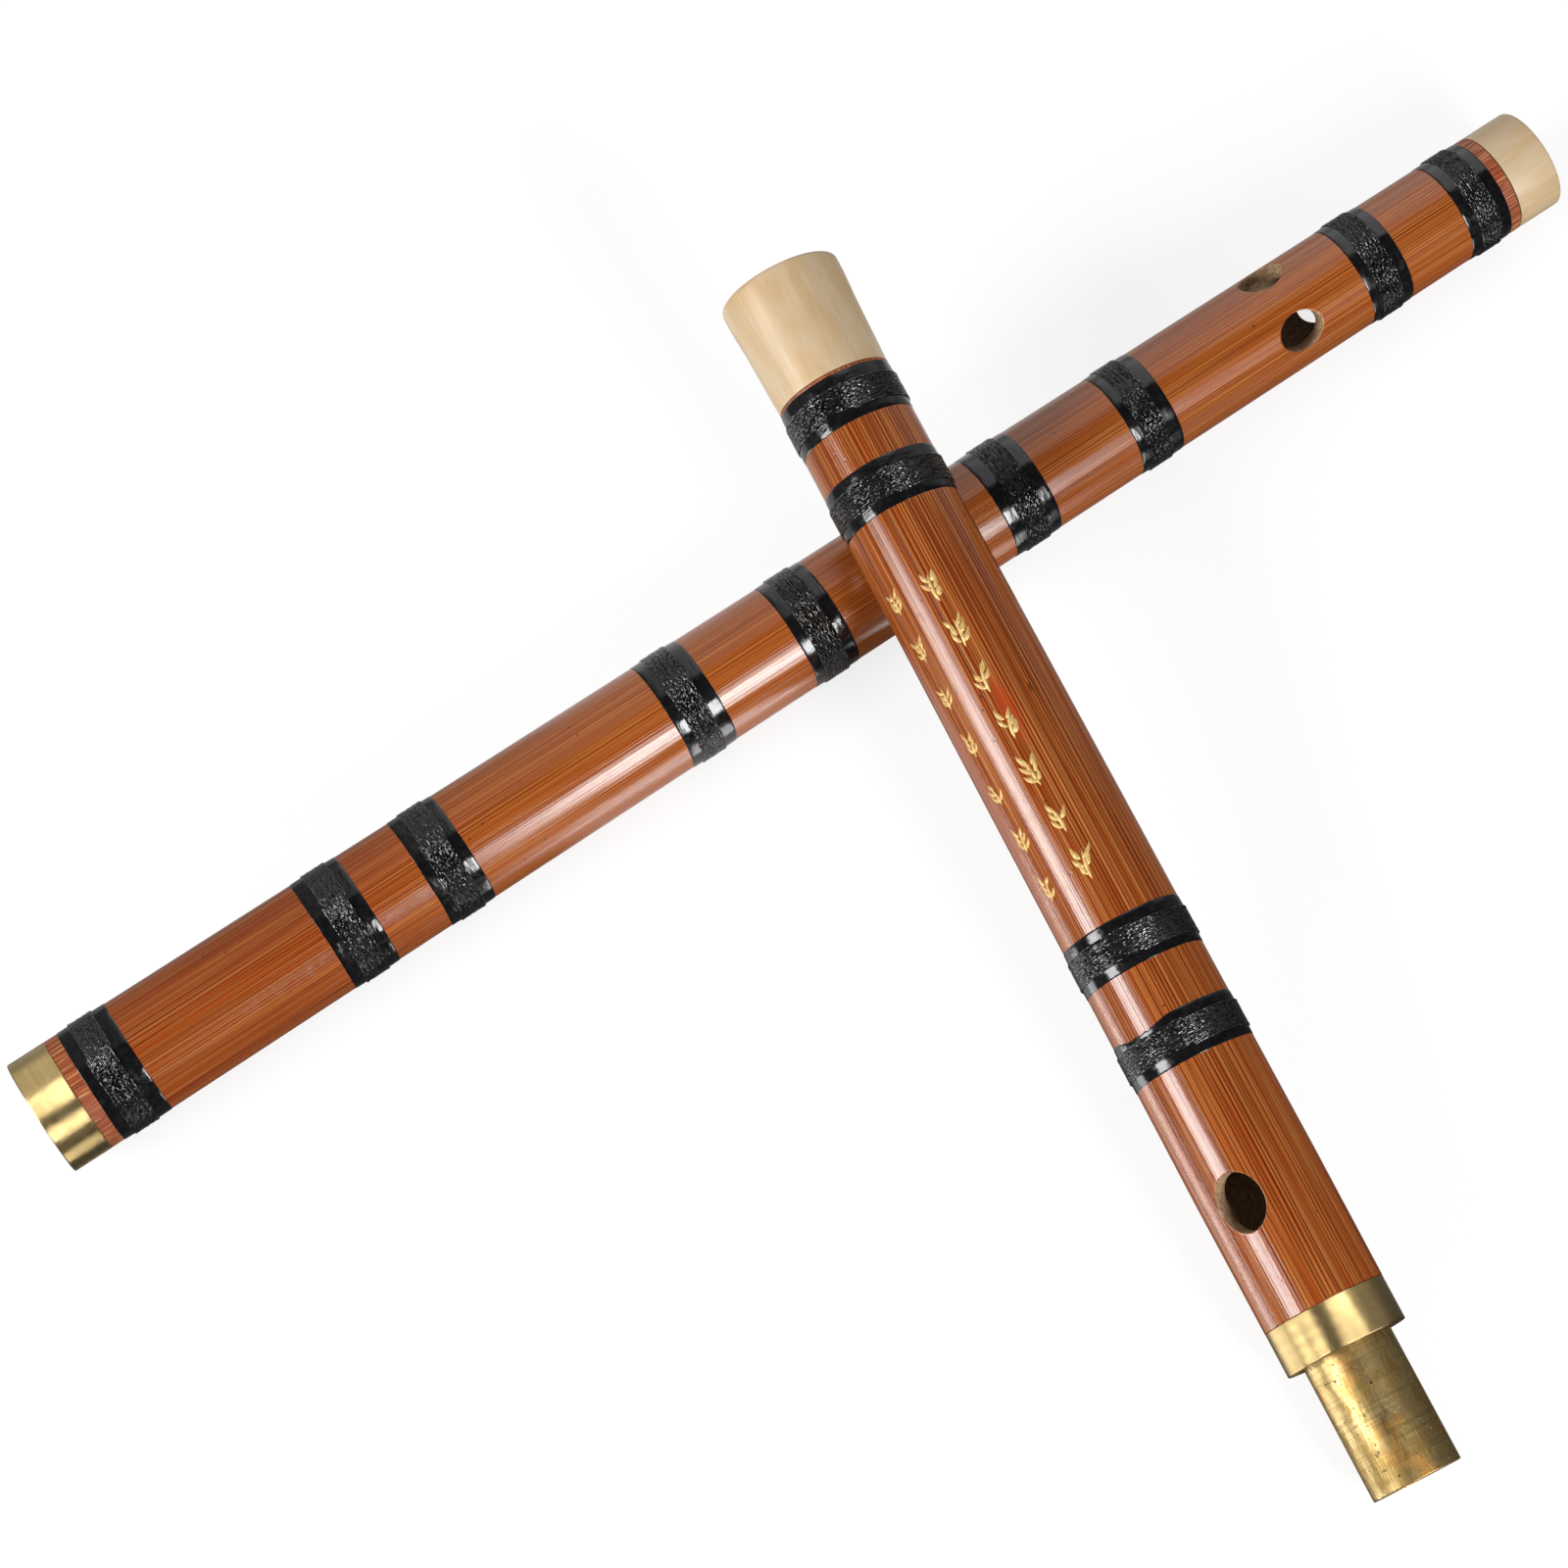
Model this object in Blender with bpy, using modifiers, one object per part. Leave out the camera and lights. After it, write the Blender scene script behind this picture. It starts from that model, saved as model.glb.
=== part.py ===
"""Dizi, a bamboo cross flute in two sections, laid down apart: the head section lies across the foot section.

Metres, +Z up. The foot section lies along +X on the plane z = 0, its open socket at the -X end.
The head section runs roughly along +Y, with its tenon end down on the plane and its cap end raised,
because it rests on the foot section. The origin is the centre of the underside of the whole part's box.
Each section is modelled along the +Z axis of its own empty, from its joint end, with +X pointing up.
"""
import math

import bmesh
import bpy
from mathutils import Matrix, Vector

MM = 0.001

# Fits and small clearances
SEAT_GAP = 0.3 * MM
REST_GAP = 0.3 * MM
SLIDE_FIT = 0.1 * MM
EDGE = 0.3 * MM

# Facets round every turned piece
SIDES = 20

# Foot section: overall length, cap, ferrule, bamboo and bore
FOOT_LENGTH = 354.0 * MM
FOOT_CAP_LENGTH = 10.0 * MM
FOOT_SPIGOT_LENGTH = 7.0 * MM
FOOT_SPIGOT_RADIUS = 9.1 * MM
SOCKET_FERRULE_LENGTH = 8.3 * MM
JOINT_RADIUS = 12.05 * MM
FOOT_END_RADIUS = 10.6 * MM
BORE_RADIUS = 8.1 * MM
FOOT_BORE_END_RADIUS = 7.2 * MM

# Head section: overall length, cap, ferrule and bamboo, with its fullest girth near the blow hole
HEAD_LENGTH = 259.0 * MM
HEAD_CAP_LENGTH = 24.2 * MM
HEAD_CAP_RADIUS = 12.53 * MM
HEAD_SPIGOT_LENGTH = 12.0 * MM
HEAD_SPIGOT_RADIUS = 9.7 * MM
HEAD_FERRULE_LENGTH = 8.9 * MM
HEAD_GIRTH_RADIUS = 12.22 * MM
HEAD_GIRTH_STATION = 62.0 * MM
HEAD_END_RADIUS = 11.72 * MM

# Tenon tube, its socket lining and the turned ends of the bamboo inside the ferrules
TENON_LENGTH = 26.8 * MM
TENON_INSERT = 17.0 * MM
TENON_RADIUS = 8.88 * MM
TUBE_WALL = 0.6 * MM
FERRULE_WALL = 0.9 * MM

# Sound holes: stations from the socket or tenon end, or shares of the section's overall length,
# and angles from the section's own +X towards +Y
BLOW_HOLE_STATION = 58.4 * MM
BLOW_HOLE_LENGTH = 11.6 * MM
BLOW_HOLE_WIDTH = 9.3 * MM
BLOW_HOLE_ANGLE = math.radians(-31.7)
FINGER_HOLE_SHARES = (0.3136, 0.3785, 0.4576, 0.5353, 0.5975, 0.6794)
HOLE_LENGTH = 9.6 * MM
HOLE_WIDTH = 8.0 * MM
FRONT_VENT_SHARE = 0.7839
FRONT_VENT_LENGTH = 8.4 * MM
VENT_CLEARANCE = 0.65 * MM
REAR_VENT_SHARE = 0.8223
REAR_VENT_SPREAD = math.radians(41.4)
BACK_LINE = math.radians(4.2)
FRONT_TURN = math.radians(185.5)

# Membrane over its own hole, on the finger hole line
MEMBRANE_SHARE = 0.1314
MEMBRANE_HOLE_LENGTH = 9.2 * MM
MEMBRANE_LENGTH = 17.0 * MM
MEMBRANE_WRAP = math.radians(64.0)
MEMBRANE_THICKNESS = 0.15 * MM
MEMBRANE_GAP = 0.2 * MM
MEMBRANE_STEPS = 8

# Stopper in the head bore, on the cap side of the blow hole
STOPPER_STATION = 73.5 * MM
STOPPER_LENGTH = 16.0 * MM

# Bindings: places of their middles, bare bamboo at the ends, and the sizes that all of them share
FOOT_BINDING_SHARES = (0.1944, 0.2568, 0.4167, 0.4989, 0.6353, 0.7209, 0.8811)
HEAD_BINDING_SHARES = (0.4266, 0.3494)
SOCKET_BARE_LENGTH = 2.95 * MM
FOOT_END_BARE_LENGTH = 2.35 * MM
HEAD_END_BARE_LENGTH = 0.55 * MM
HEAD_END_PAIR_SPACING = 18.9 * MM
BINDING_WIDTH = 10.3 * MM
THREAD_TURNS = 3
THREAD_DIAMETER = 1.0 * MM
THREAD_SELF_GAP = 0.5 * MM
THREAD_RISE = 0.4 * MM
STANDING_THREAD_RISE = 0.55 * MM
LACQUER_RISE = 0.08 * MM
LACQUER_WEB = 0.25 * MM

# How the head section lies on the foot section, where the head crosses beside one of its bindings
FOOT_CROSSING_SHARE = 0.5658
HEAD_CROSSING_OFFSET = 3.3 * MM
HEAD_HEADING = math.radians(82.6)
TENON_LIFT = 0.05 * MM

# Fitted sizes and places
FOOT_CROSSING = FOOT_CROSSING_SHARE * FOOT_LENGTH
FOOT_JOINT_BINDING = SOCKET_FERRULE_LENGTH + SOCKET_BARE_LENGTH + BINDING_WIDTH / 2
FOOT_LAST_BINDING = FOOT_LENGTH - FOOT_CAP_LENGTH - FOOT_END_BARE_LENGTH - BINDING_WIDTH / 2
FOOT_MIDDLE_BINDINGS = tuple(share * FOOT_LENGTH for share in FOOT_BINDING_SHARES)
FOOT_BINDINGS = (FOOT_JOINT_BINDING, *FOOT_MIDDLE_BINDINGS, FOOT_LAST_BINDING)
HEAD_LAST_BINDING = HEAD_LENGTH - HEAD_CAP_LENGTH - HEAD_END_BARE_LENGTH - BINDING_WIDTH / 2
HEAD_PAIRED_BINDING = HEAD_LAST_BINDING - HEAD_END_PAIR_SPACING
HEAD_JOINT_BINDINGS = tuple(share * HEAD_LENGTH for share in HEAD_BINDING_SHARES)
HEAD_BINDINGS = (HEAD_LAST_BINDING, HEAD_PAIRED_BINDING, *HEAD_JOINT_BINDINGS)
HEAD_CROSSING = HEAD_PAIRED_BINDING - HEAD_CROSSING_OFFSET
MEMBRANE_STATION = MEMBRANE_SHARE * FOOT_LENGTH
FINGER_HOLE_STATIONS = tuple(share * FOOT_LENGTH for share in FINGER_HOLE_SHARES)
LAST_VENT_STATION = FOOT_BINDINGS[-2] - BINDING_WIDTH / 2 - VENT_CLEARANCE - FRONT_VENT_LENGTH / 2
FRONT_VENT_STATIONS = (FRONT_VENT_SHARE * FOOT_LENGTH, LAST_VENT_STATION)
REAR_VENT_STATION = REAR_VENT_SHARE * FOOT_LENGTH
SOCKET_RADIUS = TENON_RADIUS + SLIDE_FIT
LINING_RADIUS = SOCKET_RADIUS + TUBE_WALL
SOCKET_DEPTH = TENON_LENGTH + 2 * SEAT_GAP
TURNED_END_RADIUS = JOINT_RADIUS - FERRULE_WALL - SEAT_GAP
THREAD_PITCH = THREAD_DIAMETER + THREAD_SELF_GAP
THREAD_WIDTH = THREAD_TURNS * THREAD_PITCH + THREAD_DIAMETER
THREAD_RADIUS = THREAD_DIAMETER / 2
CHANNEL_DEPTH = THREAD_DIAMETER - THREAD_RISE + SEAT_GAP
GROOVE_DEPTH = CHANNEL_DEPTH + LACQUER_WEB + SEAT_GAP
FLAT_CUT = THREAD_DIAMETER / 10
FOOT_TAPER = (JOINT_RADIUS - FOOT_END_RADIUS) / FOOT_LENGTH
FRONT_LINE = BACK_LINE + FRONT_TURN
STOPPER_RADIUS = BORE_RADIUS - SEAT_GAP
STANDING_BINDINGS = (0, len(FOOT_BINDINGS) - 1)


def foot_radius(station):
    """Outer radius of the foot bamboo, which tapers evenly from its joint."""
    return JOINT_RADIUS - FOOT_TAPER * station


def head_radius(station):
    """Outer radius of the head bamboo, fullest near the blow hole."""
    if station < HEAD_GIRTH_STATION:
        share = (station - TENON_LENGTH) / (HEAD_GIRTH_STATION - TENON_LENGTH)
        return JOINT_RADIUS + (HEAD_GIRTH_RADIUS - JOINT_RADIUS) * share
    share = (station - HEAD_GIRTH_STATION) / (HEAD_LENGTH - HEAD_CAP_LENGTH - HEAD_GIRTH_STATION)
    return HEAD_GIRTH_RADIUS + (HEAD_END_RADIUS - HEAD_GIRTH_RADIUS) * share


def clear_scene():
    """Remove every object of the open file."""
    for item in list(bpy.data.objects):
        bpy.data.objects.remove(item, do_unlink=True)


def make_collection(name):
    """A collection linked to the scene."""
    group = bpy.data.collections.new(name)
    bpy.context.scene.collection.children.link(group)
    return group


def make_material(name, colour, roughness, metallic=0.0):
    """A Principled material with one colour, roughness and metallic value."""
    material = bpy.data.materials.new(name)
    material.use_nodes = True
    shader = material.node_tree.nodes["Principled BSDF"]
    shader.inputs["Base Color"].default_value = (*colour, 1.0)
    shader.inputs["Roughness"].default_value = roughness
    shader.inputs["Metallic"].default_value = metallic
    material.diffuse_color = (*colour, 1.0)
    return material


def bamboo_material(name):
    """Lacquered red-brown bamboo."""
    return make_material(name, (0.33, 0.10, 0.03), 0.3)


def brass_material(name):
    """Brushed yellow brass."""
    return make_material(name, (0.72, 0.53, 0.25), 0.35, 1.0)


def horn_material(name):
    """Pale cloudy horn."""
    return make_material(name, (0.78, 0.67, 0.47), 0.4)


def thread_material(name):
    """Black lacquered thread."""
    return make_material(name, (0.02, 0.02, 0.02), 0.4)


def lacquer_material(name):
    """Glossy black lacquer."""
    return make_material(name, (0.01, 0.01, 0.01), 0.12)


def cork_material(name):
    """Pale brown cork."""
    return make_material(name, (0.45, 0.27, 0.13), 0.9)


def film_material(name):
    """Thin papery reed film."""
    return make_material(name, (0.85, 0.82, 0.72), 0.5)


def place(item, parent, station=0.0, turn=0.0):
    """Parent a piece to a section's empty, along that section and turned about its axis."""
    item.parent = parent
    item.location = (0.0, 0.0, station)
    item.rotation_euler = (0.0, 0.0, turn)
    return item


def mesh_object(name, mesh, group):
    """A new object for the mesh, in the collection."""
    item = bpy.data.objects.new(name, mesh)
    group.objects.link(item)
    return item


def outline_mesh(name, points, closed=True):
    """A mesh of edges through (radius, station) points, in the XZ plane."""
    mesh = bpy.data.meshes.new(name)
    count = len(points)
    edges = [(index, index + 1) for index in range(count - 1)]
    if closed:
        edges.append((count - 1, 0))
    mesh.from_pydata([(radius, 0.0, station) for radius, station in points], edges, [])
    return mesh


def turned(name, points, parent, group, material, closed=True):
    """A turned piece: its outline runs down the outer side and, if closed, back up the inner side."""
    item = mesh_object(name, outline_mesh(name, points, closed), group)
    item.data.materials.append(material)
    screw = item.modifiers.new("Turn", "SCREW")
    screw.axis = "Z"
    screw.angle = 2 * math.pi
    screw.steps = SIDES
    screw.render_steps = SIDES
    screw.use_merge_vertices = True
    screw.merge_threshold = 0.00001
    screw.use_smooth_shade = True
    return place(item, parent)


def grooves(bindings, radius_at):
    """Outline points of the binding grooves, from the highest station down."""
    points = []
    for middle in sorted(bindings, reverse=True):
        top = middle + BINDING_WIDTH / 2
        bottom = middle - BINDING_WIDTH / 2
        points.append((radius_at(top), top))
        points.append((radius_at(top) - GROOVE_DEPTH, top))
        points.append((radius_at(bottom) - GROOVE_DEPTH, bottom))
        points.append((radius_at(bottom), bottom))
    return points


def hole_cutter(name, station, angle, length, width, radius, parent, group):
    """An oval bar across one wall of a tube, that cuts a hole of that length and width."""
    inner = 0.45 * radius
    outer = 1.2 * radius
    shape = bmesh.new()
    bmesh.ops.create_cone(shape, cap_ends=True, segments=16, radius1=0.5, radius2=0.5, depth=1.0)
    bmesh.ops.scale(shape, vec=(length, width, outer - inner), verts=shape.verts)
    bmesh.ops.rotate(shape, cent=(0, 0, 0), matrix=Matrix.Rotation(math.pi / 2, 3, "Y"), verts=shape.verts)
    bmesh.ops.translate(shape, vec=((inner + outer) / 2, 0, 0), verts=shape.verts)
    mesh = bpy.data.meshes.new(name)
    shape.to_mesh(mesh)
    shape.free()
    cutter = mesh_object(name, mesh, group)
    cutter.display_type = "WIRE"
    cutter.hide_render = True
    return place(cutter, parent, station, angle)


def cut(item, cutter):
    """Subtract the cutter from the piece."""
    boolean = item.modifiers.new("Cut " + cutter.name, "BOOLEAN")
    boolean.operation = "DIFFERENCE"
    boolean.solver = "EXACT"
    boolean.object = cutter


def foot_tube(section, parts, cutters):
    """The foot bamboo with its bore, socket recess, binding grooves, finger holes and vents."""
    end = FOOT_LENGTH - FOOT_CAP_LENGTH - SEAT_GAP
    spigot_end = end + FOOT_SPIGOT_LENGTH
    shoulder = SOCKET_FERRULE_LENGTH + SEAT_GAP
    start = FERRULE_WALL + SEAT_GAP
    recess = SOCKET_DEPTH + SEAT_GAP
    points = [(FOOT_SPIGOT_RADIUS, spigot_end), (FOOT_SPIGOT_RADIUS, end), (foot_radius(end), end)]
    points += grooves(FOOT_BINDINGS, foot_radius)
    points += [(foot_radius(shoulder), shoulder), (TURNED_END_RADIUS, shoulder), (TURNED_END_RADIUS, start)]
    points += [(LINING_RADIUS + SEAT_GAP, start), (LINING_RADIUS + SEAT_GAP, recess)]
    points += [(BORE_RADIUS, recess), (FOOT_BORE_END_RADIUS, spigot_end)]
    tube = turned("foot_tube", points, section, parts, bamboo_material("foot_bamboo"))
    holes = [(station, FRONT_LINE, HOLE_LENGTH) for station in FINGER_HOLE_STATIONS]
    holes += [(station, FRONT_LINE, FRONT_VENT_LENGTH) for station in FRONT_VENT_STATIONS]
    holes.append((MEMBRANE_STATION, FRONT_LINE, MEMBRANE_HOLE_LENGTH))
    holes.append((REAR_VENT_STATION, BACK_LINE - REAR_VENT_SPREAD, HOLE_LENGTH))
    holes.append((REAR_VENT_STATION, BACK_LINE + REAR_VENT_SPREAD, HOLE_LENGTH))
    for number, (station, angle, length) in enumerate(holes, 1):
        name = f"foot_hole_cutter_{number}"
        radius = foot_radius(station)
        cut(tube, hole_cutter(name, station, angle, length, HOLE_WIDTH, radius, section, cutters))
    return tube


def head_tube(section, parts, cutters):
    """The head bamboo with its bore, tenon recess, binding grooves and blow hole."""
    end = HEAD_LENGTH - HEAD_CAP_LENGTH - SEAT_GAP
    spigot_end = end + HEAD_SPIGOT_LENGTH
    shoulder = TENON_LENGTH + HEAD_FERRULE_LENGTH + SEAT_GAP
    start = TENON_LENGTH + FERRULE_WALL + SEAT_GAP
    recess = TENON_LENGTH + TENON_INSERT + SEAT_GAP
    points = [(HEAD_SPIGOT_RADIUS, spigot_end), (HEAD_SPIGOT_RADIUS, end), (head_radius(end), end)]
    points += grooves(HEAD_BINDINGS, head_radius)
    points += [(HEAD_GIRTH_RADIUS, HEAD_GIRTH_STATION)]
    points += [(head_radius(shoulder), shoulder), (TURNED_END_RADIUS, shoulder), (TURNED_END_RADIUS, start)]
    points += [(TENON_RADIUS + SEAT_GAP, start), (TENON_RADIUS + SEAT_GAP, recess)]
    points += [(BORE_RADIUS, recess), (BORE_RADIUS, spigot_end)]
    tube = turned("head_tube", points, section, parts, bamboo_material("head_bamboo"))
    cutter = hole_cutter("blow_hole_cutter", BLOW_HOLE_STATION, BLOW_HOLE_ANGLE, BLOW_HOLE_LENGTH,
                         BLOW_HOLE_WIDTH, HEAD_GIRTH_RADIUS, section, cutters)
    cut(tube, cutter)
    return tube


def socket_ferrule(section, parts):
    """The brass ring over the socket end, with a thin end wall round the lining."""
    length = SOCKET_FERRULE_LENGTH
    hole = LINING_RADIUS + SEAT_GAP
    inner = JOINT_RADIUS - FERRULE_WALL
    points = [(JOINT_RADIUS, length), (JOINT_RADIUS, EDGE), (JOINT_RADIUS - EDGE, 0.0)]
    points += [(hole, 0.0), (hole, FERRULE_WALL), (inner, FERRULE_WALL), (inner, length)]
    return turned("socket_ferrule", points, section, parts, brass_material("socket_ferrule_brass"))


def socket_lining(section, parts):
    """The brass tube that lines the socket and takes the tenon."""
    points = [(LINING_RADIUS, SOCKET_DEPTH), (LINING_RADIUS, 0.0)]
    points += [(SOCKET_RADIUS, 0.0), (SOCKET_RADIUS, SOCKET_DEPTH)]
    return turned("socket_lining", points, section, parts, brass_material("socket_lining_brass"))


def foot_end_cap(section, parts):
    """The horn ring on the open foot end, over the bamboo's turned spigot."""
    bottom = FOOT_LENGTH - FOOT_CAP_LENGTH
    recess = bottom + FOOT_SPIGOT_LENGTH
    outer = foot_radius(bottom)
    seat = FOOT_SPIGOT_RADIUS + SEAT_GAP
    points = [(outer - EDGE, FOOT_LENGTH), (outer, FOOT_LENGTH - EDGE), (outer, bottom), (seat, bottom)]
    points += [(seat, recess), (FOOT_BORE_END_RADIUS, recess), (FOOT_BORE_END_RADIUS, FOOT_LENGTH)]
    return turned("foot_end_cap", points, section, parts, horn_material("foot_cap_horn"))


def head_end_cap(section, parts):
    """The flared horn ring on the open head end, over the bamboo's turned spigot."""
    bottom = HEAD_LENGTH - HEAD_CAP_LENGTH
    recess = bottom + HEAD_SPIGOT_LENGTH
    start_radius = head_radius(bottom)
    flare = HEAD_CAP_RADIUS - start_radius
    seat = HEAD_SPIGOT_RADIUS + SEAT_GAP
    lip = HEAD_LENGTH - 2 * EDGE
    points = [(HEAD_CAP_RADIUS - 2 * EDGE, HEAD_LENGTH), (HEAD_CAP_RADIUS, lip)]
    points += [(start_radius + 0.55 * flare, bottom + 0.55 * HEAD_CAP_LENGTH)]
    points += [(start_radius + 0.05 * flare, bottom + 0.1 * HEAD_CAP_LENGTH)]
    points += [(start_radius, bottom), (seat, bottom), (seat, recess)]
    points += [(BORE_RADIUS, recess), (BORE_RADIUS, HEAD_LENGTH)]
    return turned("head_end_cap", points, section, parts, horn_material("head_cap_horn"))


def head_ferrule(section, parts):
    """The brass ring on the head's joint end, whose end wall is the shoulder round the tenon."""
    bottom = TENON_LENGTH
    top = TENON_LENGTH + HEAD_FERRULE_LENGTH
    hole = TENON_RADIUS + SEAT_GAP
    inner = JOINT_RADIUS - FERRULE_WALL
    points = [(JOINT_RADIUS, top), (JOINT_RADIUS, bottom + EDGE), (JOINT_RADIUS - EDGE, bottom)]
    points += [(hole, bottom), (hole, bottom + FERRULE_WALL), (inner, bottom + FERRULE_WALL), (inner, top)]
    return turned("head_ferrule", points, section, parts, brass_material("head_ferrule_brass"))


def tenon(section, parts):
    """The brass tenon tube, open at both ends, set into the head bamboo."""
    top = TENON_LENGTH + TENON_INSERT
    inner = TENON_RADIUS - TUBE_WALL
    points = [(TENON_RADIUS, top), (TENON_RADIUS, EDGE), (TENON_RADIUS - EDGE / 2, 0.0)]
    points += [(inner, 0.0), (inner, top)]
    return turned("tenon", points, section, parts, brass_material("tenon_brass"))


def stopper(axis, parts):
    """The cork that closes the bore beside the blow hole, with its origin on its slide."""
    half = STOPPER_LENGTH / 2
    points = [(0.0, half), (STOPPER_RADIUS - EDGE, half), (STOPPER_RADIUS, half - EDGE)]
    points += [(STOPPER_RADIUS, EDGE - half), (STOPPER_RADIUS - EDGE, -half), (0.0, -half)]
    cork = turned("stopper", points, axis, parts, cork_material("stopper_cork"), closed=False)
    return place(cork, axis, STOPPER_STATION + half)


def membrane(section, parts):
    """The thin reed film glued over the membrane hole, a bent sheet given its thickness."""
    radius = foot_radius(MEMBRANE_STATION - MEMBRANE_LENGTH / 2) + MEMBRANE_GAP
    half = MEMBRANE_LENGTH / 2
    film = mesh_object("membrane", outline_mesh("membrane", [(radius, half), (radius, -half)], False), parts)
    film.data.materials.append(film_material("membrane_film"))
    screw = film.modifiers.new("Wrap", "SCREW")
    screw.angle = MEMBRANE_WRAP
    screw.steps = MEMBRANE_STEPS
    screw.render_steps = MEMBRANE_STEPS
    sheet = film.modifiers.new("Thickness", "SOLIDIFY")
    sheet.thickness = MEMBRANE_THICKNESS
    sheet.offset = 1.0
    return place(film, section, MEMBRANE_STATION, FRONT_LINE - MEMBRANE_WRAP / 2)


def lacquer_band(name, middle, radius_at, section, parts):
    """The lacquer band of a binding: a ring in the bamboo's groove, with a channel for the thread."""
    low = middle - BINDING_WIDTH / 2 + SEAT_GAP
    high = middle + BINDING_WIDTH / 2 - SEAT_GAP
    channel_low = middle - THREAD_WIDTH / 2 - SEAT_GAP
    channel_high = middle + THREAD_WIDTH / 2 + SEAT_GAP
    seat = -GROOVE_DEPTH + SEAT_GAP
    points = [(radius_at(high) + LACQUER_RISE, high), (radius_at(channel_high) + LACQUER_RISE, channel_high)]
    points += [(radius_at(channel_high) - CHANNEL_DEPTH, channel_high)]
    points += [(radius_at(channel_low) - CHANNEL_DEPTH, channel_low)]
    points += [(radius_at(channel_low) + LACQUER_RISE, channel_low), (radius_at(low) + LACQUER_RISE, low)]
    points += [(radius_at(low) + seat, low), (radius_at(high) + seat, high)]
    return turned(name, points, section, parts, lacquer_material(name))


def thread_points(radius):
    """Points of one winding about z = 0, with a straight run of one thread diameter at each end."""
    count = THREAD_TURNS * SIDES
    points = []
    for index in range(count + 1):
        angle = 2 * math.pi * index / SIDES
        height = THREAD_PITCH * (index / SIDES - THREAD_TURNS / 2)
        points.append(Vector((radius * math.cos(angle), radius * math.sin(angle), height)))
    first = (points[0] - points[1]).normalized() * THREAD_DIAMETER
    last = (points[-1] - points[-2]).normalized() * THREAD_DIAMETER
    return [points[0] + first] + points + [points[-1] + last]


def least_self_gap(points):
    """Least clear distance between parts of the thread that lie at least half a turn apart."""
    least = math.inf
    for first in range(len(points)):
        for second in range(first + SIDES // 2, len(points)):
            least = min(least, (points[first] - points[second]).length)
    return least - THREAD_DIAMETER


def thread(name, middle, radius_at, rise, section, parts):
    """One winding of a binding: an unbroken tube wound round the bamboo in its groove."""
    radius = radius_at(middle) + rise - THREAD_RADIUS
    points = thread_points(radius)
    print(f"{name}: least gap to itself {least_self_gap(points) / MM:.3f} mm")
    curve = bpy.data.curves.new(name, "CURVE")
    curve.dimensions = "3D"
    curve.twist_mode = "Z_UP"
    curve.bevel_depth = THREAD_RADIUS
    curve.bevel_resolution = 0
    curve.use_fill_caps = True
    spline = curve.splines.new("POLY")
    spline.points.add(len(points) - 1)
    for target, point in zip(spline.points, points):
        target.co = (*point, 1.0)
    curve.materials.append(thread_material(name))
    return place(mesh_object(name, curve, parts), section, middle)


def as_mesh(item, parts):
    """Swap a curve for the mesh of its tube, with the caps welded on."""
    bpy.context.view_layer.update()
    graph = bpy.context.evaluated_depsgraph_get()
    mesh = bpy.data.meshes.new_from_object(item.evaluated_get(graph))
    shape = bmesh.new()
    shape.from_mesh(mesh)
    bmesh.ops.remove_doubles(shape, verts=shape.verts, dist=0.000001)
    shape.to_mesh(mesh)
    shape.free()
    name = item.name
    world = item.matrix_world.copy()
    bpy.data.objects.remove(item, do_unlink=True)
    solid = mesh_object(name, mesh, parts)
    solid.matrix_world = world
    return solid


def bench_cutter(group):
    """A slab under z = 0, that cuts flat what the foot section stands on."""
    shape = bmesh.new()
    bmesh.ops.create_cube(shape, size=1.0)
    bmesh.ops.scale(shape, vec=(1.5 * FOOT_LENGTH, 4 * JOINT_RADIUS, JOINT_RADIUS), verts=shape.verts)
    mesh = bpy.data.meshes.new("bench_cutter")
    shape.to_mesh(mesh)
    shape.free()
    slab = mesh_object("bench_cutter", mesh, group)
    slab.display_type = "WIRE"
    slab.hide_render = True
    return slab


def foot_direction():
    """Unit vector along the foot axis, tilted so that the tapered tube lies on the plane z = 0."""
    tilt = math.atan(FOOT_TAPER)
    return Vector((math.cos(tilt), 0.0, -math.sin(tilt)))


def foot_start_height():
    """Height of the foot axis at its socket end."""
    return (JOINT_RADIUS + STANDING_THREAD_RISE - FLAT_CUT) * math.cos(math.atan(FOOT_TAPER))


def head_direction(slope):
    """Unit vector along the head axis, from its tenon end to its cap."""
    flat = math.cos(slope)
    return Vector((flat * math.cos(HEAD_HEADING), flat * math.sin(HEAD_HEADING), math.sin(slope)))


def head_slope():
    """Slope at which the head touches the plane with its tenon and the foot section where they cross."""
    along_foot = foot_direction()
    reach = foot_radius(FOOT_CROSSING) + head_radius(HEAD_CROSSING) + REST_GAP
    foot_height = foot_start_height() + along_foot.z * FOOT_CROSSING
    slope = 0.0
    for _ in range(20):
        along_head = head_direction(slope)
        normal = along_foot.cross(along_head).normalized()
        crossing_height = foot_height + reach / abs(normal.z)
        tenon_height = TENON_LIFT + TENON_RADIUS * math.cos(slope)
        slope = math.asin((crossing_height - tenon_height) / HEAD_CROSSING)
    return slope


def section_empty(name, start, direction, group):
    """An empty at a section's joint end, whose +Z runs along the section and whose +X points up."""
    forward = direction.normalized()
    up = (Vector((0, 0, 1)) - forward * forward.z).normalized()
    side = forward.cross(up)
    empty = bpy.data.objects.new(name, None)
    group.objects.link(empty)
    empty.empty_display_size = JOINT_RADIUS
    turn = Matrix((up, side, forward)).transposed().to_4x4()
    empty.matrix_world = Matrix.Translation(start) @ turn
    return empty


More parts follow.
